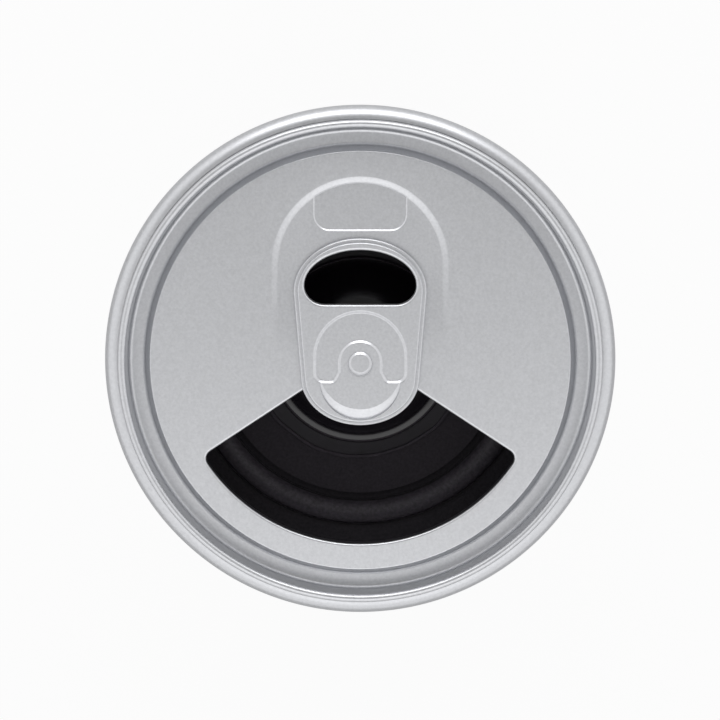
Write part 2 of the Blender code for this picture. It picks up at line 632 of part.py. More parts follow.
def make_control_plate():
    """A flanged plate in the wall's window, modelled facing +Y like each of the controls behind it."""
    margin = degrees(GAP / CAN_R)
    lap = degrees(PLATE_LAP / CAN_R)
    face_in = shell_in - GAP
    plate = sector("control_plate", face_in - PLATE_BACK, face_in, plate_low - PLATE_LAP,
                   plate_high + PLATE_LAP, 90, PLATE_HALF_ANGLE + lap, BLACK_ABS)
    weld(plate, sector("face", face_in - PLATE_BACK / 2, CAN_R, plate_low + GAP, plate_high - GAP,
                       90, PLATE_HALF_ANGLE - margin, BLACK_ABS))
    inner, outer = CAN_R - 6 * MM, CAN_R + 3 * MM
    half_w, half_h = USB_SIZE[0] / 2 + 0.5 * MM, USB_SIZE[2] / 2 + 0.5 * MM
    usb = box("usb", (-half_w, inner, control_z - half_h), (half_w, outer, control_z + half_h), BLACK_ABS)
    cut(plate, turn_about_z(usb, USB_ANGLE))
    jack = horizontal_rod("jack", inner, outer, JACK_NOSE_R + 2 * GAP, control_z + JACK_RISE, BLACK_ABS)
    cut(plate, turn_about_z(jack, JACK_ANGLE))
    low, high = (-slot_half, inner, control_z - KNOB_H), (slot_half, outer, control_z + KNOB_H)
    cut(plate, box("slot", low, high, BLACK_ABS))
    cut(plate, horizontal_rod("led", inner, outer, LED_R + GAP, led_z, BLACK_ABS))


def horizontal_rod(name, y0, y1, r, z, material, steps=SMALL):
    """A rod along Y at x = 0."""
    rod = lathe(name, [(0, y0), (r, y0), (r, y1), (0, y1)], material, steps)
    rod.data.transform(Matrix.Translation((0, 0, z)) @ Matrix.Rotation(radians(-90), 4, "X"))
    return rod


def block(name, half, y0, y1, z0, z1, material):
    """A box centred on x = 0."""
    return box(name, (-half, y0, z0), (half, y1, z1), material)


def make_sockets():
    half, deep, high = USB_SIZE[0] / 2, USB_SIZE[1], USB_SIZE[2]
    back_y = front_y - deep
    low_z, high_z = part_z + USB_WALL, part_z + high - USB_WALL
    tongue_z = part_z + high / 2 - USB_TONGUE_T / 2
    usb = block("usb_socket", half, back_y, front_y, part_z, part_z + high, STEEL)
    cut(usb, block("mouth", half - USB_WALL, back_y + MM, front_y + MM, low_z, high_z, STEEL))
    weld(usb, block("tongue", half - 3 * USB_WALL, back_y + MM / 2, front_y - 3 * USB_WALL, tongue_z,
                    tongue_z + USB_TONGUE_T, STEEL))
    turn_about_z(usb, USB_ANGLE)
    jack_z = control_z + JACK_RISE
    block_y = front_y - 1.2 * MM
    jack = block("audio_socket", JACK_SIZE[0] / 2, block_y - JACK_SIZE[1], block_y, part_z,
                 part_z + JACK_SIZE[2], BLACK_ABS)
    weld(jack, horizontal_rod("nose", block_y - MM, front_y, JACK_NOSE_R, jack_z, BLACK_ABS))
    bore_y = block_y - JACK_SIZE[1] + MM
    cut(jack, horizontal_rod("bore", bore_y, front_y + MM, JACK_BORE_R, jack_z, BLACK_ABS))
    turn_about_z(jack, JACK_ANGLE)


def make_switch():
    front = front_y - 2 * GAP
    slot_back = front - SWITCH_SLOT_DEPTH
    half, deep, high = SWITCH_SIZE[0] / 2, SWITCH_SIZE[1], SWITCH_SIZE[2]
    slot_half_h = KNOB_H / 2 + GAP
    body = block("power_switch_body", half, front - deep, front, part_z, part_z + high, STEEL)
    cut(body, block("slot", slot_half, slot_back, front + MM, control_z - slot_half_h,
                    control_z + slot_half_h, STEEL))
    knob_x = -SWITCH_TRAVEL / 2
    low = (knob_x - KNOB_W / 2, slot_back + GAP, control_z - KNOB_H / 2)
    high = (knob_x + KNOB_W / 2, CAN_R - GAP, control_z + KNOB_H / 2)
    knob = box("power_switch_slider", low, high, BLACK_ABS)
    set_origin(knob, (knob_x, front, control_z))
    led = horizontal_rod("status_led", front_y - 5 * MM, CAN_R - LED_IN, LED_R, led_z, LENS, 12)
    stem_y = front_y - 6 * MM
    weld(led, block("stem", LED_R * 0.8, stem_y, stem_y + LED_R + 0.1 * MM, part_z, led_z + MM, LENS))


def make_battery():
    half = CELL_W / 2
    low_z = part_z + BRACKET_T
    back, front = CELL_Y - CELL_T / 2, CELL_Y + CELL_T / 2
    block("battery_cell", half, back, front, low_z + GAP, low_z + GAP + CELL_H, CELL_FOIL)
    room = half + GAP
    bracket = block("battery_bracket", room + BRACKET_T, back - BRACKET_T, front + BRACKET_T, part_z,
                    part_z + BRACKET_H, BLACK_ABS)
    cut(bracket, block("room", room, back - 2 * BRACKET_T, front + 2 * BRACKET_T, low_z,
                       part_z + 2 * BRACKET_H, BLACK_ABS))


def smooth_route(points, steps=4):
    """Points of a Catmull-Rom curve through a route."""
    smooth = []
    ends = [points[0], *points, points[-1]]
    for a, b, c, d in zip(ends, ends[1:], ends[2:], ends[3:]):
        for i in range(steps):
            t = i / steps
            square = (2 * a - 5 * b + 4 * c - d) * t**2
            cube = (3 * b - a - 3 * c + d) * t**3
            smooth.append(0.5 * (2 * b + (c - a) * t + square + cube))
    return smooth + [points[-1]]


def make_wire(name, points, material):
    """A round wire through a smooth curve of its route's points."""
    curve = bpy.data.curves.new(name, "CURVE")
    curve.dimensions = "3D"
    curve.bevel_depth = WIRE_R
    curve.bevel_resolution = 2
    curve.use_fill_caps = True
    smooth = smooth_route(points)
    spline = curve.splines.new("POLY")
    spline.points.add(len(smooth) - 1)
    for point, place in zip(spline.points, smooth):
        point.co = (*place, 1.0)
    curve.materials.append(material)
    wire = bpy.data.objects.new(name, curve)
    bpy.context.scene.collection.objects.link(wire)


def make_speaker_wires():
    """The terminal board by the basket and the two wires that rise to it from the circuit board."""
    board_out = tag_x - MM
    board_low = basket_z - 3 * MM
    low = (board_out - TERMINAL_T, -TERMINAL_HALF, board_low)
    box("terminal_board", low, (board_out, TERMINAL_HALF, spider_z - 2 * MM), KRAFT)
    wire_x = board_out - TERMINAL_T / 2
    top = board_low - 0.8 * MM
    for name, y, material in (("speaker_wire_red", -2, RED_PVC), ("speaker_wire_black", 2, BLACK_PVC)):
        route = [(wire_x - 2.8 * MM, part_z + GAP), (wire_x - 2.8 * MM, part_z + 5 * MM)]
        route += [(wire_x - 1.4 * MM, part_z + 18 * MM), (wire_x - MM, (part_z + top) / 2)]
        route += [(wire_x - 0.4 * MM, top - 9 * MM), (wire_x, top)]
        make_wire(name, [Vector((x, y * MM, z)) for x, z in route], material)


def make_battery_wires():
    """The two wires that leave the cell's top edge and run down in front of it to the circuit board."""
    cell_top = part_z + BRACKET_T + GAP + CELL_H
    run_y = CELL_Y + CELL_T / 2 + 3 * MM
    for name, x, material in (("battery_wire_red", -3, RED_PVC), ("battery_wire_black", 3, BLACK_PVC)):
        route = [(CELL_Y, cell_top + GAP), (CELL_Y + MM, cell_top + 3 * MM)]
        route += [(run_y - 0.6 * MM, cell_top + 2 * MM), (run_y, cell_top - 8 * MM)]
        route += [(run_y, cell_top - 24 * MM), (run_y + MM, part_z + 6 * MM), (run_y + MM, part_z + GAP)]
        make_wire(name, [Vector((x * MM, y, z)) for y, z in route], material)


for obj in list(bpy.data.objects):
    bpy.data.objects.remove(obj)

SILVER = new_material("silver_lacquer", (0.56, 0.57, 0.58), 0.38, 0.9)
ALUMINIUM = new_material("lacquered_aluminium", (0.56, 0.57, 0.58), 0.36, 0.9)
BLACK_ABS = new_material("black_abs", (0.02, 0.02, 0.022), 0.5)
BLACK_STEEL = new_material("black_coated_steel", (0.03, 0.03, 0.03), 0.45, 0.6)
FOAM_RUBBER = new_material("foam_rubber", (0.02, 0.018, 0.02), 0.9)
CONE_PAPER = new_material("cone_paper", (0.03, 0.027, 0.032), 0.85)
CAP_PAPER = new_material("cap_paper", (0.015, 0.014, 0.018), 0.35)
GLUE = new_material("black_glue", (0.02, 0.018, 0.022), 0.3)
KRAFT = new_material("kraft_paper", (0.35, 0.22, 0.12), 0.8)
COPPER = new_material("copper_wire", (0.72, 0.33, 0.16), 0.3, 1.0)
SPIDER_CLOTH = new_material("treated_cloth", (0.6, 0.42, 0.18), 0.85)
ZINC = new_material("zinc_plated_steel", (0.55, 0.56, 0.57), 0.35, 1.0)
FERRITE = new_material("ferrite", (0.04, 0.04, 0.045), 0.6)
RUBBER = new_material("foot_rubber", (0.015, 0.015, 0.016), 0.85)
FR4 = new_material("green_fr4", (0.01, 0.12, 0.05), 0.45)
CAN_ALUMINIUM = new_material("capacitor_aluminium", (0.6, 0.6, 0.62), 0.3, 1.0)
STEEL = new_material("plated_steel", (0.6, 0.6, 0.6), 0.3, 1.0)
LENS = new_material("led_epoxy", (0.75, 0.78, 0.8), 0.15)
CELL_FOIL = new_material("cell_foil", (0.55, 0.56, 0.58), 0.35, 0.8)
RED_PVC = new_material("red_pvc", (0.5, 0.01, 0.01), 0.45)
BLACK_PVC = new_material("black_pvc", (0.01, 0.01, 0.01), 0.45)

make_shell()
make_lid()
make_tab()
make_rivet()
make_moving_driver()
make_spider()
make_basket()
make_motor()
make_gasket()
make_frame()
make_screws()
make_base()
make_board()
make_control_plate()
make_sockets()
make_switch()
make_battery()
make_speaker_wires()
make_battery_wires()
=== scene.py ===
"""The looks of a portable loudspeaker shaped like a drinks can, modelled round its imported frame.

Metres, +Z up. The lid's mouth faces -Y and the control plate faces +Y.
"""

import random
from math import asin, atan2, cos, pi, radians, sin, sqrt, tan

import bmesh
import bpy
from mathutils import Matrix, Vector


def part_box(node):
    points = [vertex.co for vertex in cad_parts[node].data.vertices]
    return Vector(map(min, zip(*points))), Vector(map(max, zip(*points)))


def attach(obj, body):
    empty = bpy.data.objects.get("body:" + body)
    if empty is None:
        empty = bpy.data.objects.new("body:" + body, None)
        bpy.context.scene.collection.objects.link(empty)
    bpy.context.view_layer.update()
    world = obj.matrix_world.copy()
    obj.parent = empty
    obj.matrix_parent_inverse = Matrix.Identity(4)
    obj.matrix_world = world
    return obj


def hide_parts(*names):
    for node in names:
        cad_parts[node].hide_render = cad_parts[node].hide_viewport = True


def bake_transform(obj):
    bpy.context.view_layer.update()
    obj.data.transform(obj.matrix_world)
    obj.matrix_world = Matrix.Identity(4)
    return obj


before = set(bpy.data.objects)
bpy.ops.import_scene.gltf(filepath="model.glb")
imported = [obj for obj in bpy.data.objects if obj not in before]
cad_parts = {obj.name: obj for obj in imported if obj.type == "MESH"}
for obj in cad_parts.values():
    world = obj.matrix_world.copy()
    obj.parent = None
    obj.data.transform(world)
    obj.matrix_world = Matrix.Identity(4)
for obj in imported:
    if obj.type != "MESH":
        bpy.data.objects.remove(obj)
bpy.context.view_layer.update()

MM = 0.001

# Places that follow from the frame
can_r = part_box("body_shell")[1][0]
crest_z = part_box("lid")[1][2]
lid_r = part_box("lid")[1][0]
skirt_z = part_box("lid")[0][2]
shell_low_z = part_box("body_shell")[0][2]
shell_top_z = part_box("body_shell")[1][2]
tab_low_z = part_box("pull_tab")[0][2]
tab_top_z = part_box("pull_tab")[1][2]
lip_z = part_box("driver_gasket")[0][2]
cone_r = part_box("cone")[1][0]
cone_top_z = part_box("cone")[1][2]
cap_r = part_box("dust_cap")[1][0]
cap_edge_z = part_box("dust_cap")[0][2]
cap_top_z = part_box("dust_cap")[1][2]
glue_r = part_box("cap_glue_bead")[1][0]

# Lid: depths are below the crest of its bead
PANEL_Z = crest_z - 2.1 * MM
PANEL_T = 1.7 * MM
MOAT_Z = crest_z - 4.3 * MM
WALL_R = lid_r - 1.25 * MM
MOAT_IN_R = WALL_R - 2.0 * MM
PANEL_R = MOAT_IN_R - 0.8 * MM
BEAD_R = 0.5 * MM
EDGE = 0.3 * MM
QUARTER = (0, 18, 36, 54, 72, 90)

# Pull tab, measured from its rivet
TAB_BASE_T = 0.5 * MM
TAB_STEP_IN = 0.5 * MM
HORSESHOE_DEEP = 0.24 * MM
HORSESHOE_SLOPE_W = 0.42 * MM
NOSE_SLOPE = radians(16)


def straighten(values):
    """The sRGB bytes of a hex colour as linear numbers."""
    parts = [int(values[i:i + 2], 16) / 255 for i in (1, 3, 5)]
    return tuple(c / 12.92 if c <= 0.04045 else ((c + 0.055) / 1.055) ** 2.4 for c in parts) + (1.0,)


def deselect():
    if bpy.context.mode != "OBJECT":
        bpy.ops.object.mode_set(mode="OBJECT")
    bpy.ops.object.select_all(action="DESELECT")


def activate(obj):
    deselect()
    obj.select_set(True)
    bpy.context.view_layer.objects.active = obj


def edit(obj):
    activate(obj)
    bpy.ops.object.mode_set(mode="EDIT")


def finish_piece(obj, angle=24):
    """Merges doubles, turns faces outwards and smooths all but the sharp edges and those of level faces."""
    edit(obj)
    bpy.ops.mesh.select_all(action="SELECT")
    bpy.ops.mesh.remove_doubles(threshold=0.000001)
    bpy.ops.mesh.dissolve_degenerate(threshold=0.0000001)
    bpy.ops.mesh.normals_make_consistent(inside=False)
    bpy.ops.object.mode_set(mode="OBJECT")
    bpy.ops.object.shade_smooth_by_angle(angle=radians(angle))
    level_sides = {}
    for face in obj.data.polygons:
        if abs(face.normal.z) > 0.999:
            for key in face.edge_keys:
                level_sides[key] = level_sides.get(key, 0) + 1
    for edge in obj.data.edges:
        if level_sides.get(edge.key) == 1:
            edge.use_edge_sharp = True
    return obj


def from_circle(name, points, fill="NGON"):
    """A circle primitive whose points are moved onto an outline of 3D places."""
    deselect()
    bpy.ops.mesh.primitive_circle_add(vertices=len(points), radius=10 * MM, fill_type=fill)
    obj = bpy.context.object
    obj.name = name
    for vertex, place in zip(obj.data.vertices, points):
        vertex.co = place
    return obj


def turned(name, profile, steps=160, angle=2 * pi):
    """Spins a closed outline of (radius, z) points about the can's axis."""
    obj = from_circle(name, [(r, 0, z) for r, z in profile], "NOTHING")
    edit(obj)
    bpy.ops.mesh.select_all(action="SELECT")
    bpy.ops.mesh.spin(steps=steps, angle=angle, center=(0, 0, 0), axis=(0, 0, 1))
    return finish_piece(obj)


def lofted(name, layers):
    """A solid through outlines of equal count: each layer is extruded from the last and moved into place."""
    obj = from_circle(name, layers[0])
    edit(obj)
    bpy.ops.mesh.select_mode(type="FACE")
    bpy.ops.mesh.select_all(action="SELECT")
    for last, layer in zip(layers, layers[1:]):
        bpy.ops.mesh.extrude_region()
        bm = bmesh.from_edit_mesh(obj.data)
        for vertex in [v for v in bm.verts if v.select]:
            nearest = min(range(len(last)), key=lambda i: (vertex.co - Vector(last[i])).length_squared)
            vertex.co = layer[nearest]
        bmesh.update_edit_mesh(obj.data)
    return finish_piece(obj)


def cut(obj, *tools, operation="DIFFERENCE"):
    """Applies a Boolean with each tool and deletes the tools."""
    for tool in tools:
        activate(obj)
        step = obj.modifiers.new("cut", "BOOLEAN")
        step.operation = operation
        step.solver = "MANIFOLD"
        step.object = tool
        bpy.ops.object.modifier_apply(modifier=step.name)
        bpy.data.objects.remove(tool)
    return finish_piece(obj)


def rounded(corners, steps=6):
    """A closed outline through (x, y, fillet) corners, each fillet an arc of short edges."""
    points = []
    for before, corner, after in zip(corners[-1:] + corners[:-1], corners, corners[1:] + corners[:1]):
        here, radius = Vector(corner[:2]), corner[2]
        if not radius:
            points.append(tuple(here))
            continue
        to_before = (Vector(before[:2]) - here).normalized()
        to_after = (Vector(after[:2]) - here).normalized()
        half = to_before.angle(to_after) / 2
        centre = here + (to_before + to_after).normalized() * radius / sin(half)
        start = here + to_before * radius / tan(half) - centre
        end = here + to_after * radius / tan(half) - centre
        first = atan2(start.y, start.x)
        sweep = (atan2(end.y, end.x) - first + pi) % (2 * pi) - pi
        for i in range(steps + 1):
            a = first + sweep * i / steps
            points.append((centre.x + radius * cos(a), centre.y + radius * sin(a)))
    return points


def arc(cx, cy, rx, ry, start, end, steps):
    """Points of an elliptic arc from start to end degrees."""
    turns = [radians(start + (end - start) * i / steps) for i in range(steps + 1)]
    return [(cx + rx * cos(a), cy + ry * sin(a)) for a in turns]


def at_height(outline, z):
    return [(x, y, z) for x, y in outline]


# Materials


def new_material(name, colour, roughness, metallic=0.0):
    """(material, its node tree, its Principled shader) with the uniform values set on the shader."""
    material = bpy.data.materials.new(name)
    material.use_nodes = True
    tree = material.node_tree
    shader = tree.nodes["Principled BSDF"]
    shader.inputs["Base Color"].default_value = straighten(colour)
    shader.inputs["Roughness"].default_value = roughness
    shader.inputs["Metallic"].default_value = metallic
    return material, tree, shader


def add(tree, kind, settings=(), **links):
    """A node with its settings and its inputs' values or links, each named by the input's words."""
    node = tree.nodes.new(kind)
    for key, value in dict(settings).items():
        setattr(node, key, value)
    for key, value in links.items():
        name = key.replace("_", " ")
        socket = node.inputs[int(key[1:]) if key[0] == "n" and key[1:].isdigit() else name]
        if isinstance(value, bpy.types.NodeSocket):
            tree.links.new(value, socket)
        else:
            socket.default_value = value
    return node


def grain(material_parts, size, colours=None, bump=0.0, roughness=None, detail=3.0):
    """Fine random grain of a real size: it mottles the colour, the roughness and the surface."""
    material, tree, shader = material_parts
    place = add(tree, "ShaderNodeTexCoord").outputs["Object"]
    noise = add(tree, "ShaderNodeTexNoise", Vector=place, Scale=1 / size, Detail=detail, Roughness=0.6)
    level = noise.outputs["Fac"]
    if colours:
        ramp = add(tree, "ShaderNodeValToRGB", Fac=level)
        ramp.color_ramp.elements[0].position, ramp.color_ramp.elements[1].position = 0.3, 0.7
        ramp.color_ramp.elements[0].color, ramp.color_ramp.elements[1].color = map(straighten, colours)
        tree.links.new(ramp.outputs["Color"], shader.inputs["Base Color"])
    if roughness:
        spread = add(tree, "ShaderNodeMapRange", Value=level, To_Min=roughness[0], To_Max=roughness[1])
        tree.links.new(spread.outputs["Result"], shader.inputs["Roughness"])
    if bump:
        relief = add(tree, "ShaderNodeBump", Height=level, Strength=1.0, Distance=bump)
        tree.links.new(relief.outputs["Normal"], shader.inputs["Normal"])
    return material


# Silver lacquer over moulding: fine metal flake in a satin coat, so broad soft highlights with a faint grain
silver_lacquer = grain(
    new_material("silver_lacquer", "#c8c9cc", 0.34, 0.85), 0.35 * MM,
    ("#c2c3c6", "#cecfd2"), bump=0.004 * MM, roughness=(0.3, 0.37))
# Drawn aluminium under the same lacquer, a little smoother
lacquered_aluminium = grain(
    new_material("lacquered_aluminium", "#c8c9cc", 0.36, 0.85), 0.45 * MM,
    ("#c3c4c7", "#cdced1"), bump=0.003 * MM, roughness=(0.33, 0.4))
# Moulded black ABS with a fine spark-eroded texture: matte, a little grey at grazing light
moulded_black_abs = grain(
    new_material("moulded_black_abs", "#1d1c1f", 0.5), 0.5 * MM,
    ("#1a191c", "#212023"), bump=0.02 * MM, roughness=(0.45, 0.6))
# Pressed paper pulp, dyed black: matte with visible fibres
cone_pulp = grain(
    new_material("dyed_pulp", "#2a262c", 0.85), 0.35 * MM, ("#242026", "#332e35"), bump=0.03 * MM)
# Lacquered paper dome: near black and smooth, so it mirrors the openings as small bright patches
cap_coating = grain(
    new_material("lacquered_paper", "#1b181d", 0.16), 0.8 * MM, ("#18151a", "#1f1c22"), bump=0.001 * MM)
# Lighter grey on the upward faces at the edge of the dome and on the glue's ridge: a painted highlight for
# the thin bright rings there
painted_edge_highlight = grain(
    new_material("painted_edge_highlight", "#342f36", 0.8), 0.6 * MM, ("#2d282f", "#3c363e"), bump=0.01 * MM)
# Black contact glue: a thin uneven film with a dull shine
contact_glue = grain(
    new_material("contact_glue", "#1c191e", 0.6), 1.3 * MM, ("#17141a", "#262229"), bump=0.03 * MM,
    roughness=(0.5, 0.75))
# Butyl rubber roll: soft sheen, very fine skin
butyl_rubber = grain(
    new_material("butyl_rubber", "#3b363d", 0.6), 0.45 * MM, ("#2f2b31", "#48434b"), bump=0.05 * MM)
# Black foam gasket: open cells that swallow light. The same dark finish is painted on the roll's flap as
# painted shade
closed_foam_and_painted_shade = grain(
    new_material("closed_foam_and_painted_shade", "#242126", 0.95), 0.4 * MM, ("#1e1b20", "#2b282d"), bump=0.08 * MM)
# Cast rubber foot: matte, dusty black
cast_rubber = grain(
    new_material("cast_rubber", "#1b1b1c", 0.8), 0.5 * MM, ("#171718", "#222223"), bump=0.02 * MM)
# Zinc-plated steel: bright, with a faint cloudy tint
zinc_plate = grain(
    new_material("zinc_plated_steel", "#b9bbbd", 0.3, 1.0), 1.5 * MM, ("#aeb0b3", "#c3c4c6"),
    roughness=(0.25, 0.38))
# Tin-plated sheet: socket shells
tin_plate = grain(
    new_material("tin_plated_sheet", "#c2c2c0", 0.28, 1.0), 2.0 * MM, ("#b7b7b5", "#cbcbc9"),
    roughness=(0.22, 0.34))
# Stoved black paint on pressed steel
stoved_paint = grain(
    new_material("stoved_black_paint", "#19181a", 0.4), 0.6 * MM, ("#161517", "#1f1e20"), bump=0.01 * MM)
# Sintered ferrite: dull charcoal with a fine grit
ferrite = grain(
    new_material("sintered_ferrite", "#2c2c2e", 0.6), 0.4 * MM, ("#252527", "#353538"), bump=0.02 * MM)
# Solder mask over glass laminate
solder_mask = grain(
    new_material("solder_mask", "#14532f", 0.35), 0.9 * MM, ("#114a29", "#185c35"), bump=0.004 * MM)
# Kraft paper: voice-coil former and tag board
kraft_paper = grain(
    new_material("kraft_paper", "#8d6a42", 0.8), 0.5 * MM, ("#7e5d39", "#9c784d"), bump=0.02 * MM)
# Enamelled copper winding
enamelled_copper = grain(
    new_material("enamelled_copper", "#b8683a", 0.3, 1.0), 0.3 * MM, ("#a85c32", "#c67444"), bump=0.03 * MM)
# Phenolic-dipped cotton: the spider
dipped_cotton = grain(
    new_material("dipped_cotton", "#b08b45", 0.85), 0.35 * MM, ("#9d7a39", "#c29c54"), bump=0.04 * MM)
# Capacitor can and the cell's foil pouch
bright_aluminium = grain(
    new_material("bright_aluminium", "#bcbdbf", 0.3, 1.0), 1.2 * MM, ("#b0b1b3", "#c6c7c9"),
    roughness=(0.25, 0.36))
# Water-clear LED epoxy, milky with its frosted skin
led_epoxy = grain(
    new_material("led_epoxy", "#cfd6d8", 0.18), 0.8 * MM, ("#c5cdd0", "#d9dfe1"), bump=0.004 * MM)
# PVC wire covers
red_pvc = grain(
    new_material("red_pvc", "#9c1414", 0.4), 0.7 * MM, ("#8e1010", "#a81a1a"), bump=0.006 * MM)
black_pvc = grain(
    new_material("black_pvc", "#161616", 0.4), 0.7 * MM, ("#121212", "#1c1c1c"), bump=0.006 * MM)


def dress(obj, *materials):
    obj.data.materials.clear()
    for material in materials:
        obj.data.materials.append(material)
    return obj


def place(obj, body, slot, *nodes):
    """Rides on a body and stands for CAD nodes; the slot is not used."""
    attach(obj, body)
    if nodes:
        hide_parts(*nodes)


# Camera, floor and lights

SKY_ROUND, SKY_OVERHEAD, SKY_DIFFUSE = 1.18, 0.33, 0.59
SKY_LEAN = radians(22)
SKY_EDGE = 0.72
FLOOR_SEEN_WHITE = 0.93
VIEW_TILT = radians(6.5)
VIEW_DISTANCE = 0.285
VIEW_WIDTH = 92.1 * MM
AIM = Vector((-0.03 * MM, 0.55 * MM, crest_z))


def make_camera():
    data = bpy.data.cameras.new("camera")
    data.sensor_width = 36
    data.lens = data.sensor_width * VIEW_DISTANCE / VIEW_WIDTH
    data.clip_start = 0.01
    camera = bpy.data.objects.new("camera", data)
    camera.location = AIM + VIEW_DISTANCE * Vector((0, sin(VIEW_TILT), cos(VIEW_TILT)))
    camera.rotation_euler = (-VIEW_TILT, 0, 0)
    bpy.context.scene.collection.objects.link(camera)
    bpy.context.scene.camera = camera


def make_floor():
    """A pale floor that the camera sees as plain white, with a part of the can's shadow."""
    deselect()
    bpy.ops.mesh.primitive_plane_add(size=4)
    floor = bpy.context.object
    floor.name = "floor"
    material, tree, shader = new_material("white_paper", "#e6e6e6", 0.9)
    glow = add(tree, "ShaderNodeEmission", Strength=1.0)
    rays = add(tree, "ShaderNodeLightPath").outputs
    seen = add(tree, "ShaderNodeMath", {"operation": "MULTIPLY"},
               n0=rays["Is Camera Ray"], n1=FLOOR_SEEN_WHITE)
    mix = add(tree, "ShaderNodeMixShader", n0=seen.outputs[0], n1=shader.outputs[0], n2=glow.outputs[0])
    tree.links.new(mix.outputs[0], tree.nodes["Material Output"].inputs["Surface"])
    dress(floor, material)


def make_world():
    """White to the camera; in reflections white all round and greyer overhead; and a plain level as light."""
    world = bpy.data.worlds.new("studio")
    bpy.context.scene.world = world
    world.use_nodes = True
    tree = world.node_tree
    direction = add(tree, "ShaderNodeTexCoord").outputs["Generated"]
    overhead = (0, sin(SKY_LEAN), cos(SKY_LEAN))
    height = add(tree, "ShaderNodeVectorMath", {"operation": "DOT_PRODUCT"}, n0=direction, n1=overhead)
    sky = add(tree, "ShaderNodeMapRange", {"interpolation_type": "SMOOTHSTEP"}, Value=height.outputs["Value"],
              From_Min=SKY_EDGE, From_Max=1.0, To_Min=SKY_ROUND, To_Max=SKY_OVERHEAD)
    rays = add(tree, "ShaderNodeLightPath").outputs
    glossy = add(tree, "ShaderNodeMath", {"operation": "MAXIMUM"},
                 n0=rays["Is Glossy Ray"], n1=rays["Is Transmission Ray"])
    reflected = add(tree, "ShaderNodeMapRange", Value=glossy.outputs[0],
                    To_Min=SKY_DIFFUSE, To_Max=sky.outputs["Result"])
    level = add(tree, "ShaderNodeMapRange", Value=rays["Is Camera Ray"],
                To_Min=reflected.outputs["Result"], To_Max=1.0)
    tree.links.new(level.outputs["Result"], tree.nodes["Background"].inputs["Strength"])
    tree.nodes["Background"].inputs["Color"].default_value = (1, 1, 1, 1)


def make_light(name, place_at, size, power):
    """A soft rectangle that faces the crest of the can."""
    data = bpy.data.lights.new(name, "AREA")
    data.shape = "RECTANGLE"
    data.size, data.size_y = size
    data.energy = power
    light = bpy.data.objects.new(name, data)
    light.location = place_at
    towards = Vector((0, 0, crest_z)) - Vector(place_at)
    light.rotation_euler = towards.to_track_quat("-Z", "Y").to_euler()
    bpy.context.scene.collection.objects.link(light)


make_camera()
make_floor()
make_world()
make_light("front_softbox", (0, -0.42, 0.78), (0.6, 0.48), 0.5)
make_light("rear_softbox", (0, 0.6, 0.45), (0.6, 0.35), 1.9)
bpy.context.scene.view_settings.view_transform = "Standard"


# Outlines of the lid and the tab, measured from the rivet

MOUTH_R = 23.8 * MM
MOUTH_INNER_R = 5.0 * MM
MOUTH_APEX_Y = 1.27 * MM
MOUTH_SLOPE = radians(33.5)
MOUTH_CORNER_R = 1.2 * MM
FINGER_HALF, FINGER_UP, FINGER_DOWN = 7.14 * MM, 4.54 * MM, 2.4 * MM
FINGER_CORNER_R = 2.6 * MM
FINGER_Y = 10.0 * MM
ARCH_Y = 12.5 * MM
ARCH_R = 11.5 * MM
ARCH_FOOT_Y = 1.0 * MM
ARCH_SLOPE_W = 1.08 * MM
ARCH_DEEP = 0.18 * MM
WELL_DEEP = 0.12 * MM
WELL_HALF = 5.85 * MM
WELL_Y = 17.1 * MM
WELL_CORNER_R = 1.95 * MM


def mouth_outline(more):
    """The fan, grown by a margin: straight sides from an apex, rounded corners and an arc at each end."""
    apex_y = MOUTH_APEX_Y + more / cos(MOUTH_SLOPE)
    outer, inner, corner = MOUTH_R + more, MOUTH_INNER_R - more, MOUTH_CORNER_R + more
    side = Vector((cos(MOUTH_SLOPE), -sin(MOUTH_SLOPE)))
    inward = Vector((-sin(MOUTH_SLOPE), -cos(MOUTH_SLOPE)))
    start = Vector((0, apex_y)) + corner * inward
    reach = outer - corner
    along = -start.dot(side) + sqrt(start.dot(side) ** 2 - start.length_squared + reach**2)
    centre = start + along * side
    out_angle = atan2(centre.y, centre.x) * 180 / pi
    side_angle = atan2(-inward.y, -inward.x) * 180 / pi
    right = arc(*centre, corner, corner, side_angle, out_angle, 6)
    apex = Vector((0, apex_y))
    reach_in = -apex.dot(side) + sqrt(apex.dot(side) ** 2 - apex.length_squared + inner**2)
    meet = apex + reach_in * side
    meet_angle = atan2(meet.y, meet.x) * 180 / pi
    bottom = arc(0, 0, outer, outer, out_angle, -180 - out_angle, 60)[1:-1]
    left = [(-x, y) for x, y in reversed(right)]
    return right + bottom + left + arc(0, 0, inner, inner, -180 - meet_angle, meet_angle, 12)


def finger_outline(more):
    """The D-shaped finger hole of the tab, grown by a margin."""
    corner_x, corner_r = FINGER_HALF - FINGER_CORNER_R, FINGER_CORNER_R + more
    points = arc(0, FINGER_Y, FINGER_HALF + more, FINGER_UP + more, 0, 180, 36)
    points += arc(-corner_x, FINGER_Y, corner_r, FINGER_DOWN + more, 180, 270, 10)[1:]
    return points + arc(corner_x, FINGER_Y, corner_r, FINGER_DOWN + more, 270, 360, 10)[:-1]


def tab_outline(less):
    """The tab's outline, drawn in by a margin: a half ellipse at the tail and one at the nose."""
    tail = arc(0, 9.24 * MM, 8.54 * MM - less, 6.78 * MM - less, -6, 186, 40)
    return tail + arc(0, -2.0 * MM, 7.62 * MM - less, 6.1 * MM - less, 184, 356, 36)


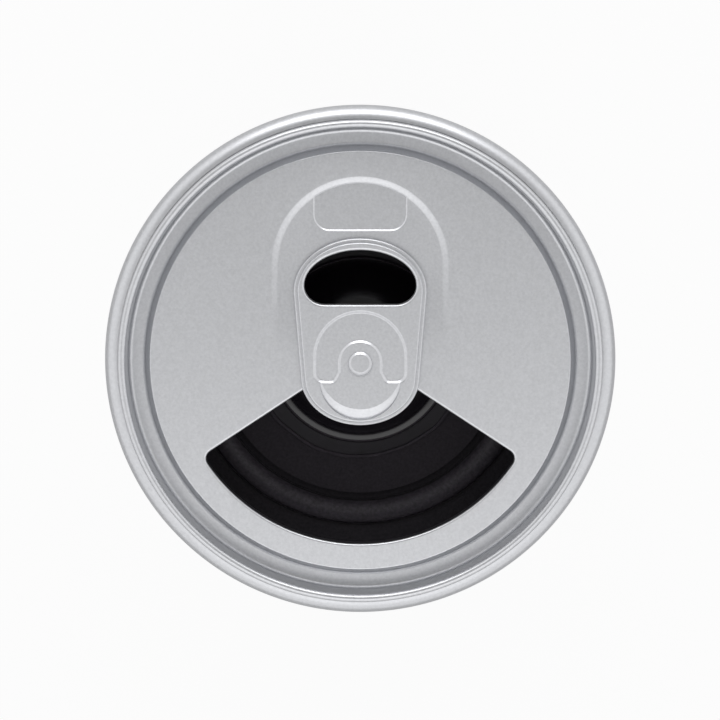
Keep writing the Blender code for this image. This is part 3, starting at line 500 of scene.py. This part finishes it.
def horseshoe_outline(less):
    """The inverted U pressed into the tab round its rivet, drawn in by a margin."""
    outer, inner = 5.9 * MM - less, 2.63 * MM + less
    foot = -2.43 * MM + less
    arch = [(x, y, 0) for x, y in arc(0, 0.8 * MM, outer, outer, 0, 180, 30)]
    legs = [(-outer, foot, 1.2 * MM), (-3.35 * MM - less, foot, 0.7 * MM), (-inner, -1.11 * MM, 0.6 * MM)]
    bridge = [(x, y, 0) for x, y in arc(0, 0.19 * MM, inner, inner, 180, 0, 20)]
    return rounded(arch + legs + bridge + [(-x, y, r) for x, y, r in reversed(legs)])


def arch_outline(less):
    """The arch sunk into the panel round the tab, drawn in by a margin."""
    r = ARCH_R - less
    return arc(0, ARCH_Y, r, r, 0, 180, 60) + [(-r, ARCH_FOOT_Y), (r, ARCH_FOOT_Y)]


def well_outline(more):
    """The finger well, grown by a margin: a flat-bottomed D that ends near the foot of the arch's slope."""
    r = ARCH_R - 0.9 * ARCH_SLOPE_W + more
    half = WELL_HALF + more
    side = atan2(sqrt(r**2 - half**2), half) * 180 / pi
    top = [(x, y, 0) for x, y in arc(0, ARCH_Y, r, r, side, 180 - side, 24)]
    low, corner = WELL_Y - more, WELL_CORNER_R + more
    return rounded(top + [(-half, low, corner), (half, low, corner)], 8)


def box_outline(half_w, half_h, corner):
    """A rectangle about the origin with rounded corners."""
    return rounded([(-half_w, -half_h, corner), (half_w, -half_h, corner),
                    (half_w, half_h, corner), (-half_w, half_h, corner)])


def stadium(half_w, half_h, steps=12):
    """A flat-sided oval about the origin."""
    shift = half_w - half_h
    return arc(shift, 0, half_h, half_h, -90, 90, steps) + arc(-shift, 0, half_h, half_h, 90, 270, steps)


def circle_outline(r):
    return arc(0, 0, r, r, 0, 352, 44)


# Shapes that several pieces use

SLOPE_BEND = 0.27
SLOPE_SHARES = (0, 0.09, 0.18, SLOPE_BEND, 0.5, 1 - SLOPE_BEND, 0.82, 0.91, 1)


def slope_height(share):
    """How high a slope has come at a share of its width: round at foot and brow, straight between."""
    steep = 1 / (1 - SLOPE_BEND)
    if share < SLOPE_BEND:
        return steep * share**2 / (2 * SLOPE_BEND)
    if share > 1 - SLOPE_BEND:
        return 1 - steep * (1 - share) ** 2 / (2 * SLOPE_BEND)
    return steep * (share - SLOPE_BEND / 2)


def sunk_tool(name, outline, top, deep, slope_w, foot_in):
    """A cutter for a recess with soft slopes, whose foot is drawn in from the outline by foot_in."""
    layers = [at_height(outline(foot_in - slope_w * share), top - deep * (1 - slope_height(share)))
              for share in SLOPE_SHARES]
    return lofted(name, layers + [at_height(outline(foot_in - slope_w), top + 1 * MM)])


def flare(outline, front, edge):
    """Layers that widen to the front, so that a cut's edge comes out round."""
    layers = []
    for a in QUARTER[1:]:
        layers.append(at_height(outline(edge * (1 - cos(radians(a)))), front - edge * (1 - sin(radians(a)))))
    return layers


def edged_tool(name, outline, back, front, edge, past=1 * MM):
    """A cutter along +Z through a face at front, with a rounded rim there."""
    straight = [at_height(outline(0), back), at_height(outline(0), front - edge)]
    return lofted(name, straight + flare(outline, front, edge) + [at_height(outline(edge), front + past)])


def prism(name, outline, low, high):
    """An outline carried straight up from low to high."""
    return lofted(name, [at_height(outline, low), at_height(outline, high)])


def settle(obj):
    """Applies an object's place and turn to its mesh."""
    activate(obj)
    bpy.ops.object.transform_apply(location=True, rotation=True, scale=True)
    return obj


def post(name, radius, angle, r, low, high, steps=32):
    """A plain round post at a place round the can's axis."""
    obj = turned(name, [(0, low), (r, low), (r, high), (0, high)], steps)
    obj.location = (radius * cos(radians(angle)), radius * sin(radians(angle)), 0)
    return settle(obj)


def posts_round(name, radius, angles, r, low, high, steps=32):
    return [post(name, radius, angle, r, low, high, steps) for angle in angles]


def facing(obj, angle, z):
    """Lays a piece modelled along +Z over to face outwards at an angle round the wall, at a height."""
    obj.rotation_euler = (radians(-90), 0, radians(angle - 90))
    obj.location.z = z
    return settle(obj)


def paint(obj, material, other, test):
    """Gives the faces that pass a test the other material."""
    dress(obj, material, other)
    for face in obj.data.polygons:
        face.material_index = int(test(face.center, face.normal))


# Places of the screws and posts round the can

LID_SCREW_ANGLES = (90, 210, 330)
LEG_ANGLES = (30, 150, 270)
BOARD_POST_ANGLES = (45, 135, 270)
LID_SCREW_CIRCLE = can_r - 6.5 * MM
LEG_CIRCLE = can_r - 6.0 * MM
BOARD_POST_CIRCLE = can_r - 14 * MM
BOSS_R = 2.2 * MM
PILOT_R = 1.2 * MM


def make_lid():
    """Bead, wall, moat, riser and panel turned in one, with the recesses, the mouth and the hole cut in."""
    bead_z = crest_z - BEAD_R
    bead_out = lid_r - 0.08 * MM
    bead = arc(bead_out - BEAD_R, bead_z, BEAD_R, BEAD_R, 180, 0, 16)
    under = PANEL_Z - PANEL_T
    low = MOAT_Z - 1.6 * MM
    skirt_r = lid_r - 0.5 * MM
    skirt_in = skirt_r - 1.4 * MM
    hem = crest_z - 1.1 * MM
    outside = rounded([
        (bead_out, hem, 0), (skirt_r, hem, 0), (skirt_r, skirt_z, 0), (skirt_in, skirt_z, 0),
        (skirt_in, low, 0), (MOAT_IN_R - 1.0 * MM, low, 0),
        (PANEL_R - 1.5 * MM, under, 0), (0, under, 0), (0, PANEL_Z, 0),
        (PANEL_R, PANEL_Z, 0.2 * MM), (MOAT_IN_R, MOAT_Z, 0.5 * MM), (WALL_R, MOAT_Z, 0.6 * MM)])
    lid = turned("lid_moulding", bead + outside, 240)
    bosses = posts_round("boss", LID_SCREW_CIRCLE, LID_SCREW_ANGLES, BOSS_R, skirt_z, MOAT_Z - 0.3 * MM)
    pilots = posts_round("pilot", LID_SCREW_CIRCLE, LID_SCREW_ANGLES, PILOT_R, skirt_z - MM, low - 0.6 * MM)
    cut(lid, *bosses, operation="UNION")
    cut(lid, *pilots)
    well_z, well_draft = PANEL_Z - ARCH_DEEP, 0.17 * MM
    well = lofted("well_tool", [
        at_height(well_outline(0), well_z - WELL_DEEP), at_height(well_outline(well_draft), well_z),
        at_height(well_outline(well_draft), PANEL_Z + 0.4 * MM)])
    cut(lid, arch_tool(), well)
    mouth = edged_tool("mouth_tool", mouth_outline, under - 1 * MM, PANEL_Z, EDGE)
    hole = prism("hole_tool", finger_outline(0.6 * MM), under - 1 * MM, PANEL_Z + 1 * MM)
    cut(lid, mouth, hole)
    paint(lid, silver_lacquer, moulded_black_abs,
          lambda centre, normal: centre.z < PANEL_Z - 0.75 * MM and centre.xy.length < PANEL_R - 0.2 * MM)
    place(lid, "can", "silver_lacquer", "lid")


def arch_tool():
    """The cutter for the arch, whose legs fade out towards their feet."""
    tool = sunk_tool("arch_tool", arch_outline, PANEL_Z, ARCH_DEEP, ARCH_SLOPE_W, ARCH_SLOPE_W)
    leg = ARCH_Y - ARCH_FOOT_Y
    edit(tool)
    for step in range(1, 9):
        bpy.ops.mesh.select_all(action="SELECT")
        bpy.ops.mesh.bisect(plane_co=(0, ARCH_FOOT_Y + leg * step / 8, 0), plane_no=(0, 1, 0))
    bpy.ops.object.mode_set(mode="OBJECT")
    clear = 0.002 * MM
    for vertex in tool.data.vertices:
        if vertex.co.z < PANEL_Z + 0.5 * MM:
            share = min(1, max(0, (vertex.co.y - ARCH_FOOT_Y) / leg))
            fade = 0.01 + 0.99 * share * share * (3 - 2 * share)
            vertex.co.z = PANEL_Z + clear + fade * (vertex.co.z - PANEL_Z)
    return tool


def edge_layers(inset, low, top, edge):
    """Layers of the tab from low to a top whose edge is rounded."""
    layers = [at_height(tab_outline(inset), low)]
    for a in QUARTER:
        turn = radians(a)
        layers.append(at_height(tab_outline(inset + edge * (1 - cos(turn))), top - edge * (1 - sin(turn))))
    return layers


def make_tab():
    """Two layers of rounded plate, a thin base and a body set in from it, with the hole and recesses cut."""
    base_top = tab_low_z + TAB_BASE_T
    edge, chamfer = 0.2 * MM, 0.1 * MM
    layers = [at_height(tab_outline(chamfer), tab_low_z)]
    layers += edge_layers(0, tab_low_z + chamfer, base_top, edge)
    layers += edge_layers(TAB_STEP_IN, base_top, tab_top_z, edge)
    tab = lofted("tab_plate", layers)
    finger = edged_tool("finger_tool", finger_outline, tab_low_z - 1 * MM, tab_top_z, 0.34 * MM)
    horseshoe = sunk_tool("horseshoe_tool", horseshoe_outline, tab_top_z, HORSESHOE_DEEP, HORSESHOE_SLOPE_W,
                          0.6 * HORSESHOE_SLOPE_W)
    seat_z = tab_top_z - 0.1 * MM
    bore_r, seat_r = 1.2 * MM, 1.72 * MM
    bore = [(0, tab_low_z - 1 * MM), (bore_r, tab_low_z - 1 * MM), (bore_r, seat_z), (seat_r, seat_z),
            (1.8 * MM, tab_top_z + 1 * MM), (0, tab_top_z + 1 * MM)]
    cut(tab, finger, horseshoe, nose_tool(), turned("bore", bore, 40))
    dress(tab, silver_lacquer)
    place(tab, "tab", "silver_lacquer", "pull_tab")


def nose_tool():
    """A cutter for the crescent facet on the nose: it slopes down from an inner arc and ends at a step up."""
    inner_r, inner_y, inner_start = 5.27 * MM, -0.63 * MM, radians(-9.5)
    outer_r, outer_y, outer_start = 5.23 * MM, -2.07 * MM, radians(6.3)
    tool = turned("nose_tool", [(1 * MM, 0), (2 * MM, 0), (2 * MM, 1 * MM), (1 * MM, 1 * MM)], 60, pi / 2)
    for vertex in tool.data.vertices:
        share = abs(atan2(vertex.co.y, vertex.co.x)) / (pi / 2)
        inner_turn = inner_start - share * (pi + 2 * inner_start)
        outer_turn = outer_start - share * (pi + 2 * outer_start)
        inner = Vector((inner_r * cos(inner_turn), inner_r * sin(inner_turn) + inner_y, tab_top_z))
        outer = Vector((outer_r * cos(outer_turn), outer_r * sin(outer_turn) + outer_y, tab_top_z))
        outer.z -= (outer - inner).length * tan(NOSE_SLOPE)
        is_inner = vertex.co.xy.length < 1.5 * MM
        is_raised = vertex.co.z > 0.5 * MM
        vertex.co = inner + 0.1 * (inner - outer) if is_inner else outer
        if is_raised:
            vertex.co.z = tab_top_z + 1 * MM
    edit(tool)
    bpy.ops.mesh.select_all(action="SELECT")
    bpy.ops.mesh.fill_holes(sides=4)
    return finish_piece(tool)


def make_rivet():
    """A flattened rivet head in the horseshoe's bridge, with its shank and clenched end."""
    head = tab_top_z + 0.2 * MM
    seat = tab_top_z - 0.09 * MM
    under = PANEL_Z - PANEL_T - 0.3 * MM
    end = under - 0.55 * MM
    shank_r, clench_r = 0.9 * MM, 1.9 * MM
    profile = rounded([
        (0, head, 0), (1.2 * MM, head, 0.25 * MM),
        (1.5 * MM, seat + 0.06 * MM, 0.1 * MM), (1.56 * MM, seat, 0),
        (shank_r, seat, 0), (shank_r, under, 0), (clench_r, under, 0.1 * MM), (clench_r, end, 0.2 * MM),
        (0, end, 0)])
    rivet = turned("rivet_pressing", profile, 64)
    dress(rivet, silver_lacquer)
    place(rivet, "can", "silver_lacquer", "tab_rivet")


WINDOW_LOW, WINDOW_HIGH = 13.0 * MM, 27.0 * MM


def window_block(name, half_w, low, high, corner):
    """A block with rounded corners that runs out through the rear of the wall."""
    outline = box_outline(half_w, (high - low) / 2, corner)
    return facing(prism(name, outline, can_r * 0.6, can_r + 3 * MM), 90, (low + high) / 2)


def wall_plate(name, r0, r1, half_w, low, high, corner):
    """The part of a tube wall that lies inside a window block."""
    tube = turned(name, [(r0, low - MM), (r1, low - MM), (r1, high + MM), (r0, high + MM)], 240)
    return cut(tube, window_block("tool", half_w, low, high, corner), operation="INTERSECT")


def make_shell():
    """The drawn can: rolled shoulder and hem at the top, straight wall, necked foot, window at the rear."""
    width, wall, hem = 1.8 * MM, 1.0 * MM, 0.25 * MM
    hem_r = lid_r - 0.2 * MM
    neck_top = 10.2 * MM
    shoulder = arc(can_r - width, shell_top_z - width, width, width, 0, 86, 16)
    inner = arc(hem_r + hem, shell_top_z - hem, hem, hem, 90, 180, 6)
    inner += [(hem_r, shell_top_z - wall), (hem_r + 0.4 * MM, shell_top_z - wall)]
    inner += [(can_r - wall, shell_top_z - width), (can_r - wall, neck_top)]
    neck_w, neck_h = 2.7 * MM, neck_top - shell_low_z
    neck = []
    for t in range(13):
        r = can_r - neck_w * (1 + cos(pi * t / 12)) / 2
        neck.append((r, shell_low_z + neck_h * (0.12 + 0.88 * t / 12)))
    foot_r = can_r - neck_w
    neck_in = [(r - wall, z) for r, z in reversed(neck)]
    profile = [(foot_r, shell_low_z)] + neck + shoulder + inner + neck_in + [(foot_r - wall, shell_low_z)]
    shell = turned("can_wall", profile, 240)
    cut(shell, window_block("window_tool", can_r * sin(radians(30)), WINDOW_LOW, WINDOW_HIGH, 0.8 * MM))
    dress(shell, lacquered_aluminium)
    place(shell, "can", "lacquered_aluminium", "body_shell")


def soften(obj, width, segments=3):
    """Rounds every edge sharper than 40 degrees."""
    activate(obj)
    step = obj.modifiers.new("round", "BEVEL")
    step.width = width
    step.segments = segments
    step.limit_method = "ANGLE"
    step.angle_limit = radians(40)
    bpy.ops.object.modifier_apply(modifier=step.name)
    return finish_piece(obj)


# Driver: a cone with its cap and glue, a rubber roll round it and a gasket

CONE_NECK_R = 7.85 * MM
CONE_DROP = 3.2 * MM
ROLL_OUT_R = 23.6 * MM


def cone_height(r):
    """Height of the cone's face at a radius, on a line that ends on the dropped neck."""
    return cone_top_z - CONE_DROP * (cone_r - r) / (cone_r - CONE_NECK_R)


def make_cone():
    thin, clear = 0.4 * MM, 0.05 * MM
    drop = cone_top_z - CONE_DROP
    cone = turned("cone_pulp", [(cone_r, cone_top_z - clear), (CONE_NECK_R, drop - clear),
                                (CONE_NECK_R, drop - thin), (cone_r, cone_top_z - thin - clear)], 160)
    dress(cone, cone_pulp)
    place(cone, "cone_assembly", "cone_paper", "cone")


def make_cap():
    """A shallow dome on a small turned-up lip."""
    rise = cap_top_z - cap_edge_z
    lip_out, lip_h = cap_r + 0.3 * MM, 0.3 * MM
    lip_top = cap_edge_z + lip_h
    lip = rounded([(lip_out - 0.3 * MM, cap_edge_z, 0), (lip_out, cap_edge_z, 0.05 * MM),
                   (lip_out, lip_top, 0.1 * MM), (lip_out - 0.22 * MM, lip_top, 0.08 * MM)])
    foot_r = lip_out - 0.25 * MM
    dome_r = (foot_r**2 + rise**2) / (2 * rise)
    hollow_r = dome_r - 0.4 * MM
    spread = asin(foot_r / dome_r) * 180 / pi
    dome = arc(0, cap_top_z - dome_r, dome_r, dome_r, 90 - spread + 1.5, 90, 24)
    hollow = arc(0, cap_top_z - dome_r, hollow_r, hollow_r, 90, 90 - spread + 3, 16)
    cap = turned("cap_dome", lip + dome + hollow, 160)
    # The dome's upward lip faces take the lighter grey: a painted highlight for the bright ring at the cap's
    # edge
    paint(cap, cap_coating, painted_edge_highlight,
          lambda centre, normal: centre.xy.length > foot_r + 0.02 * MM and normal.z > 0.3)
    place(cap, "cone_assembly", "cap_paper", "dust_cap")


def make_glue():
    """A thin film round the cap that ends in a wavy ridge."""
    bead_in, bead_out = cap_r + 0.45 * MM, glue_r + 0.5 * MM
    ridge = bead_out - 0.45 * MM

    def above(r, height):
        return r, cone_height(r) + height

    bead = rounded([
        (*above(bead_in, 0.05 * MM), 0), (*above(bead_out, 0.05 * MM), 0),
        (*above(bead_out, 0.42 * MM), 0.15 * MM), (*above(ridge, 0.42 * MM), 0.15 * MM),
        (*above(ridge, 0.2 * MM), 0.05 * MM), (*above(bead_in, 0.25 * MM), 0)])
    glue = turned("glue_bead", bead, 200)
    waver = random.Random(7)
    phases = [waver.uniform(0, 2 * pi) for _ in range(6)]
    for vertex in glue.data.vertices:
        r = vertex.co.xy.length
        a = atan2(vertex.co.y, vertex.co.x)
        wave = sum(sin((3 + 4 * i) * a + phases[i]) / (1 + i) for i in range(6))
        share = (r - bead_in) / (bead_out - bead_in)
        scale = 1 + share * 0.12 * MM * wave / r
        vertex.co.x *= scale
        vertex.co.y *= scale
    # The upward faces past the ridge take the lighter grey: a painted highlight for the bright wavy ring of
    # the glue
    paint(glue, contact_glue, painted_edge_highlight,
          lambda centre, normal: centre.xy.length > ridge and normal.z > 0.6)
    place(glue, "cone_assembly", "black_glue", "cap_glue_bead")


def make_roll():
    """The half-round rubber roll with its rim on the frame and its flap under the cone's edge, which is
    painted dark as painted shade in the groove.
    """
    roll_r, skin = 1.6 * MM, 0.3 * MM
    outer_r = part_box("surround")[1][0]
    mid_r = ROLL_OUT_R - roll_r
    joint_r = mid_r - roll_r
    top = arc(mid_r, lip_z, roll_r, roll_r, 0, 180, 24)
    inner = arc(mid_r, lip_z, roll_r - skin, roll_r - skin, 180, 0, 24)
    low = lip_z - 0.8 * MM - skin
    flap_r = cone_r - 0.1 * MM
    rim = [(outer_r, lip_z), (outer_r, lip_z + skin), (ROLL_OUT_R, lip_z + skin)]
    flap = [(joint_r, low + skin), (flap_r, low + skin), (flap_r, low), (joint_r + skin, low)]
    roll = turned("rubber_roll", rim + top[1:] + flap + inner[1:], 160)
    # The flap inside the roll's joint takes the dark foam finish: painted shade for the dark groove between
    # the cone and the roll
    paint(roll, butyl_rubber, closed_foam_and_painted_shade, lambda centre, normal: centre.xy.length < joint_r + 0.05 * MM)
    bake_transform(roll)
    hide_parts("surround")


def make_gasket():
    """The foam ring between the frame and the lid, with holes for the lid's screws."""
    outer_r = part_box("driver_gasket")[1][0]
    top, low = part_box("driver_gasket")[1][2], lip_z + 0.35 * MM
    gasket = turned("foam_ring", rounded([
        (ROLL_OUT_R + 0.05 * MM, low, 0), (outer_r, low, 0), (outer_r, top, 0.2 * MM),
        (ROLL_OUT_R + 0.5 * MM, top, 0.4 * MM)]), 128)
    cut(gasket, *posts_round("hole", LID_SCREW_CIRCLE, LID_SCREW_ANGLES, PILOT_R, lip_z - MM, top + MM))
    dress(gasket, closed_foam_and_painted_shade)
    place(gasket, "can", "foam_rubber", "driver_gasket")


# Foot and base

FOOT_W = 4.2 * MM


def make_foot():
    outer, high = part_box("foot_ring")[1][0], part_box("foot_ring")[1][2]
    inner = outer - FOOT_W
    foot = turned("foot_moulding", rounded([
        (outer, 0, 0.4 * MM), (outer, high, 0.1 * MM), (inner, high, 0.1 * MM), (inner, 0, 0.4 * MM)]), 128)
    dress(foot, cast_rubber)
    place(foot, "can", "foot_rubber", "foot_ring")


def make_base():
    """The moulded base: rounded flange, plug, groove for the foot, sunk screw seats and the board's posts."""
    box_low, box_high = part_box("base_cap")
    out, low, board_z = box_high[0], box_low[2], box_high[2]
    foot_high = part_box("foot_ring")[1]
    room = 0.3 * MM
    flange_top = shell_low_z - room
    plug_r, plug_z = out - 1.3 * MM, flange_top + 2.4 * MM
    floor_z, pocket_r = low + 3.2 * MM, can_r - 9.5 * MM
    groove_in, groove_out = foot_high[0] - FOOT_W - room, foot_high[0] + room
    groove_z = foot_high[2] + room
    profile = rounded([
        (0, low, 0), (groove_in, low, 0.15 * MM), (groove_in, groove_z, 0), (groove_out, groove_z, 0),
        (groove_out, low, 0.15 * MM), (out, low, 0.8 * MM),
        (out, flange_top, 0.15 * MM), (plug_r, flange_top, 0),
        (plug_r, plug_z, 0.2 * MM), (pocket_r, plug_z, 0.2 * MM), (pocket_r, floor_z, 0), (0, floor_z, 0)])
    base = turned("base_moulding", profile, 200)
    holes = posts_round("hole", LEG_CIRCLE, LEG_ANGLES, PILOT_R, low - MM, plug_z + MM)
    sinks = posts_round("sink", LEG_CIRCLE, LEG_ANGLES, 2.1 * MM, low - MM, low + 2.2 * MM, 48)
    posts = posts_round("post", BOARD_POST_CIRCLE, BOARD_POST_ANGLES, BOSS_R, low + 2.7 * MM, board_z)
    cut(base, *holes, *sinks)
    cut(base, *posts, operation="UNION")
    pilots = posts_round("pilot", BOARD_POST_CIRCLE, BOARD_POST_ANGLES, PILOT_R,
                         board_z - 6.7 * MM, board_z + MM)
    cut(base, *pilots)
    dress(base, moulded_black_abs)
    place(base, "can", "black_abs", "base_cap")


def make_base_screw(index, angle):
    """A pan-head screw seen from below, with a cross recess."""
    box_low, box_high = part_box(f"base_screw_{index}")
    low, high = box_low[2], box_high[2]
    head_r, shank_r, head_t = 1.8 * MM, 0.9 * MM, 1.5 * MM
    seat = low + head_t
    profile = rounded([
        (0, low, 0), (head_r, low, 0.55 * MM), (head_r, seat, 0), (shank_r, seat, 0.05 * MM),
        (shank_r, high - 1.0 * MM, 0), (shank_r * 0.3, high, 0), (0, high, 0)])
    screw = turned(f"base_screw_{index}_turned", profile, 48)
    slots = []
    for turn in (angle + 20, angle + 110):
        slot = prism("slot", box_outline(0.95 * MM, 0.2 * MM, 0.05 * MM), low - MM, low + 0.8 * MM)
        slot.rotation_euler.z = radians(turn)
        slots.append(settle(slot))
    cut(screw, *slots)
    screw.location = (LEG_CIRCLE * cos(radians(angle)), LEG_CIRCLE * sin(radians(angle)), 0)
    settle(screw)
    dress(screw, zinc_plate)
    place(screw, "can", "zinc_plated_steel", f"base_screw_{index}")


# Controls at the rear

JACK_ANGLE, USB_ANGLE = 72, 109
part_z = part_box("circuit_board")[1][2] + 0.3 * MM
control_z = part_z + 1.9 * MM
jack_z = control_z + 0.6 * MM
led_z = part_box("status_led")[1][2] - 1.5 * MM
parts_front = can_r - 2.6 * MM
PLATE_BACK_R = can_r - 1.3 * MM
PLATE_FRONT_R = can_r - 0.06 * MM


def make_plate():
    """A flange behind the wall and a face that fills its window, with the openings of the four controls."""
    low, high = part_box("control_plate")[0][2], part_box("control_plate")[1][2]
    lap, room = 1.2 * MM, 0.3 * MM
    plate = wall_plate("plate_flange", PLATE_BACK_R - 0.7 * MM, PLATE_BACK_R, can_r * sin(radians(32)),
                       low, high, 1.5 * MM)
    face = wall_plate("plate_face", PLATE_BACK_R - 0.35 * MM, PLATE_FRONT_R, can_r * sin(radians(29.5)),
                      low + lap + room, high - lap - room, 0.6 * MM)
    cut(plate, soften(face, 0.15 * MM), operation="UNION")
    tools = []
    for name, outline, lip, edge, angle, z in (
            ("usb_hole", lambda more: stadium(4.75 * MM + more, 2.0 * MM + more), PLATE_FRONT_R - 0.1 * MM,
             0.25 * MM, USB_ANGLE, control_z),
            ("jack_hole", lambda more: circle_outline(3.1 * MM + more), PLATE_FRONT_R,
             0.25 * MM, JACK_ANGLE, jack_z),
            ("slot_hole", lambda more: stadium(2.5 * MM + more, 1.0 * MM + more), PLATE_FRONT_R,
             0.2 * MM, 90, control_z),
            ("lamp_hole", lambda more: circle_outline(1.7 * MM + more), PLATE_FRONT_R, 0.2 * MM, 90, led_z)):
        tools.append(facing(edged_tool(name, outline, can_r - 6 * MM, lip, edge, 2 * MM), angle, z))
    cut(plate, *tools)
    dress(plate, moulded_black_abs)
    place(plate, "can", "black_abs", "control_plate")


def make_usb_socket():
    """An oval sheet shell with a tongue in its mouth."""
    shell = prism("usb_shell", stadium(4.4 * MM, 1.7 * MM), parts_front - 7 * MM, parts_front)
    cut(shell, edged_tool("usb_mouth", lambda more: stadium(4.05 * MM + more, 1.35 * MM + more),
                          parts_front - 6 * MM, parts_front, 0.12 * MM, 2 * MM))
    tongue = prism("tongue", box_outline(3.2 * MM, 0.33 * MM, 0.1 * MM),
                   parts_front - 6.5 * MM, parts_front - 1.2 * MM)
    cut(shell, tongue, operation="UNION")
    facing(shell, USB_ANGLE, part_z + 1.7 * MM)
    dress(shell, tin_plate)
    place(shell, "can", "plated_steel", "usb_socket")


def make_audio_socket():
    """A moulded block with a round nose and a bore for the plug."""
    back = parts_front - 11 * MM
    nose_r, bore_r, nose_back = 2.6 * MM, 1.8 * MM, parts_front - 10.8 * MM
    nose = turned("jack_nose", rounded([
        (bore_r, nose_back, 0), (nose_r, nose_back, 0),
        (nose_r, parts_front, 0.2 * MM), (bore_r, parts_front, 0.3 * MM)]), 64)
    body = prism("jack_body", box_outline(3 * MM, 2.5 * MM, 0.2 * MM),
                 parts_front - 12 * MM, parts_front - 1.2 * MM)
    room_r = 2.2 * MM
    bore = [(0, back), (room_r, back), (room_r, parts_front + MM), (0, parts_front + MM)]
    cut(body, turned("bore", bore, 64))
    cut(body, nose, operation="UNION")
    facing(body, JACK_ANGLE, jack_z)
    dress(body, moulded_black_abs)
    place(body, "can", "black_abs", "audio_socket")


def make_switch_knob():
    """A small block with three grooves across its tip."""
    low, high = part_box("power_switch_slider")
    half_w, half_h = (high[0] - low[0]) / 2, (high[2] - low[2]) / 2
    back, tip = low[1], high[1]
    groove, side, shoulder = 0.22 * MM, 0.3 * MM, tip - 0.25 * MM
    outline = [(-half_w, shoulder)]
    for i in range(4):
        x = -half_w + side + (2 * half_w - 2 * side) * i / 3
        outline.append((x, tip))
        if i < 3:
            outline += [(x + 0.12 * MM, tip - groove), (x + 0.3 * MM, tip - groove)]
    outline += [(half_w, shoulder), (half_w, back), (-half_w, back)]
    knob = prism("switch_knob", outline, -half_h, half_h)
    knob.location = ((low[0] + high[0]) / 2, 0, (low[2] + high[2]) / 2)
    settle(knob)
    dress(knob, moulded_black_abs)
    place(knob, "switch_slider", "black_abs", "power_switch_slider")


def make_lamp():
    """A domed lens that lies along +Y, on a stem that stands on the board."""
    lens_r, lens_back, lens_tip = 1.5 * MM, parts_front - 5 * MM, can_r - 1.2 * MM
    lens = turned("lamp_lens", rounded([
        (0, lens_back, 0), (lens_r, lens_back, 0), (lens_r, lens_tip, 0.7 * MM), (0, lens_tip, 0)], 8), 64)
    facing(lens, 90, led_z)
    half, stem_back, stem_front = 1.2 * MM, parts_front - 6 * MM, parts_front - 4.4 * MM
    foot = [(-half, stem_back), (half, stem_back), (half, stem_front), (-half, stem_front)]
    cut(lens, prism("lamp_stem", foot, part_z, led_z + MM), operation="UNION")
    dress(lens, led_epoxy)
    place(lens, "can", "led_epoxy", "status_led")


# Pieces that keep the frame's own mesh and take a finish
CAD_FINISHES = {
    moulded_black_abs: ("inner_frame", "battery_bracket", "amplifier_chip"),
    stoved_paint: ("driver_basket",),
    kraft_paper: ("voice_coil_former", "terminal_board"),
    enamelled_copper: ("voice_coil",),
    dipped_cotton: ("spider",),
    zinc_plate: ("top_plate", "yoke", "lid_screw_1", "lid_screw_2", "lid_screw_3",
                 "board_screw_1", "board_screw_2", "board_screw_3"),
    ferrite: ("ring_magnet",),
    solder_mask: ("circuit_board",),
    bright_aluminium: ("filter_capacitor_1", "filter_capacitor_2", "battery_cell"),
    tin_plate: ("power_switch_body",),
    red_pvc: ("speaker_wire_red", "battery_wire_red"),
    black_pvc: ("speaker_wire_black", "battery_wire_black"),
}

make_lid()
make_tab()
make_rivet()
make_shell()
make_cone()
make_cap()
make_glue()
make_roll()
make_gasket()
make_foot()
make_base()
for number, leg_angle in enumerate(LEG_ANGLES, 1):
    make_base_screw(number, leg_angle)
make_plate()
make_usb_socket()
make_audio_socket()
make_switch_knob()
make_lamp()
for finish, names in CAD_FINISHES.items():
    for name in names:
        dress(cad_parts[name], finish)
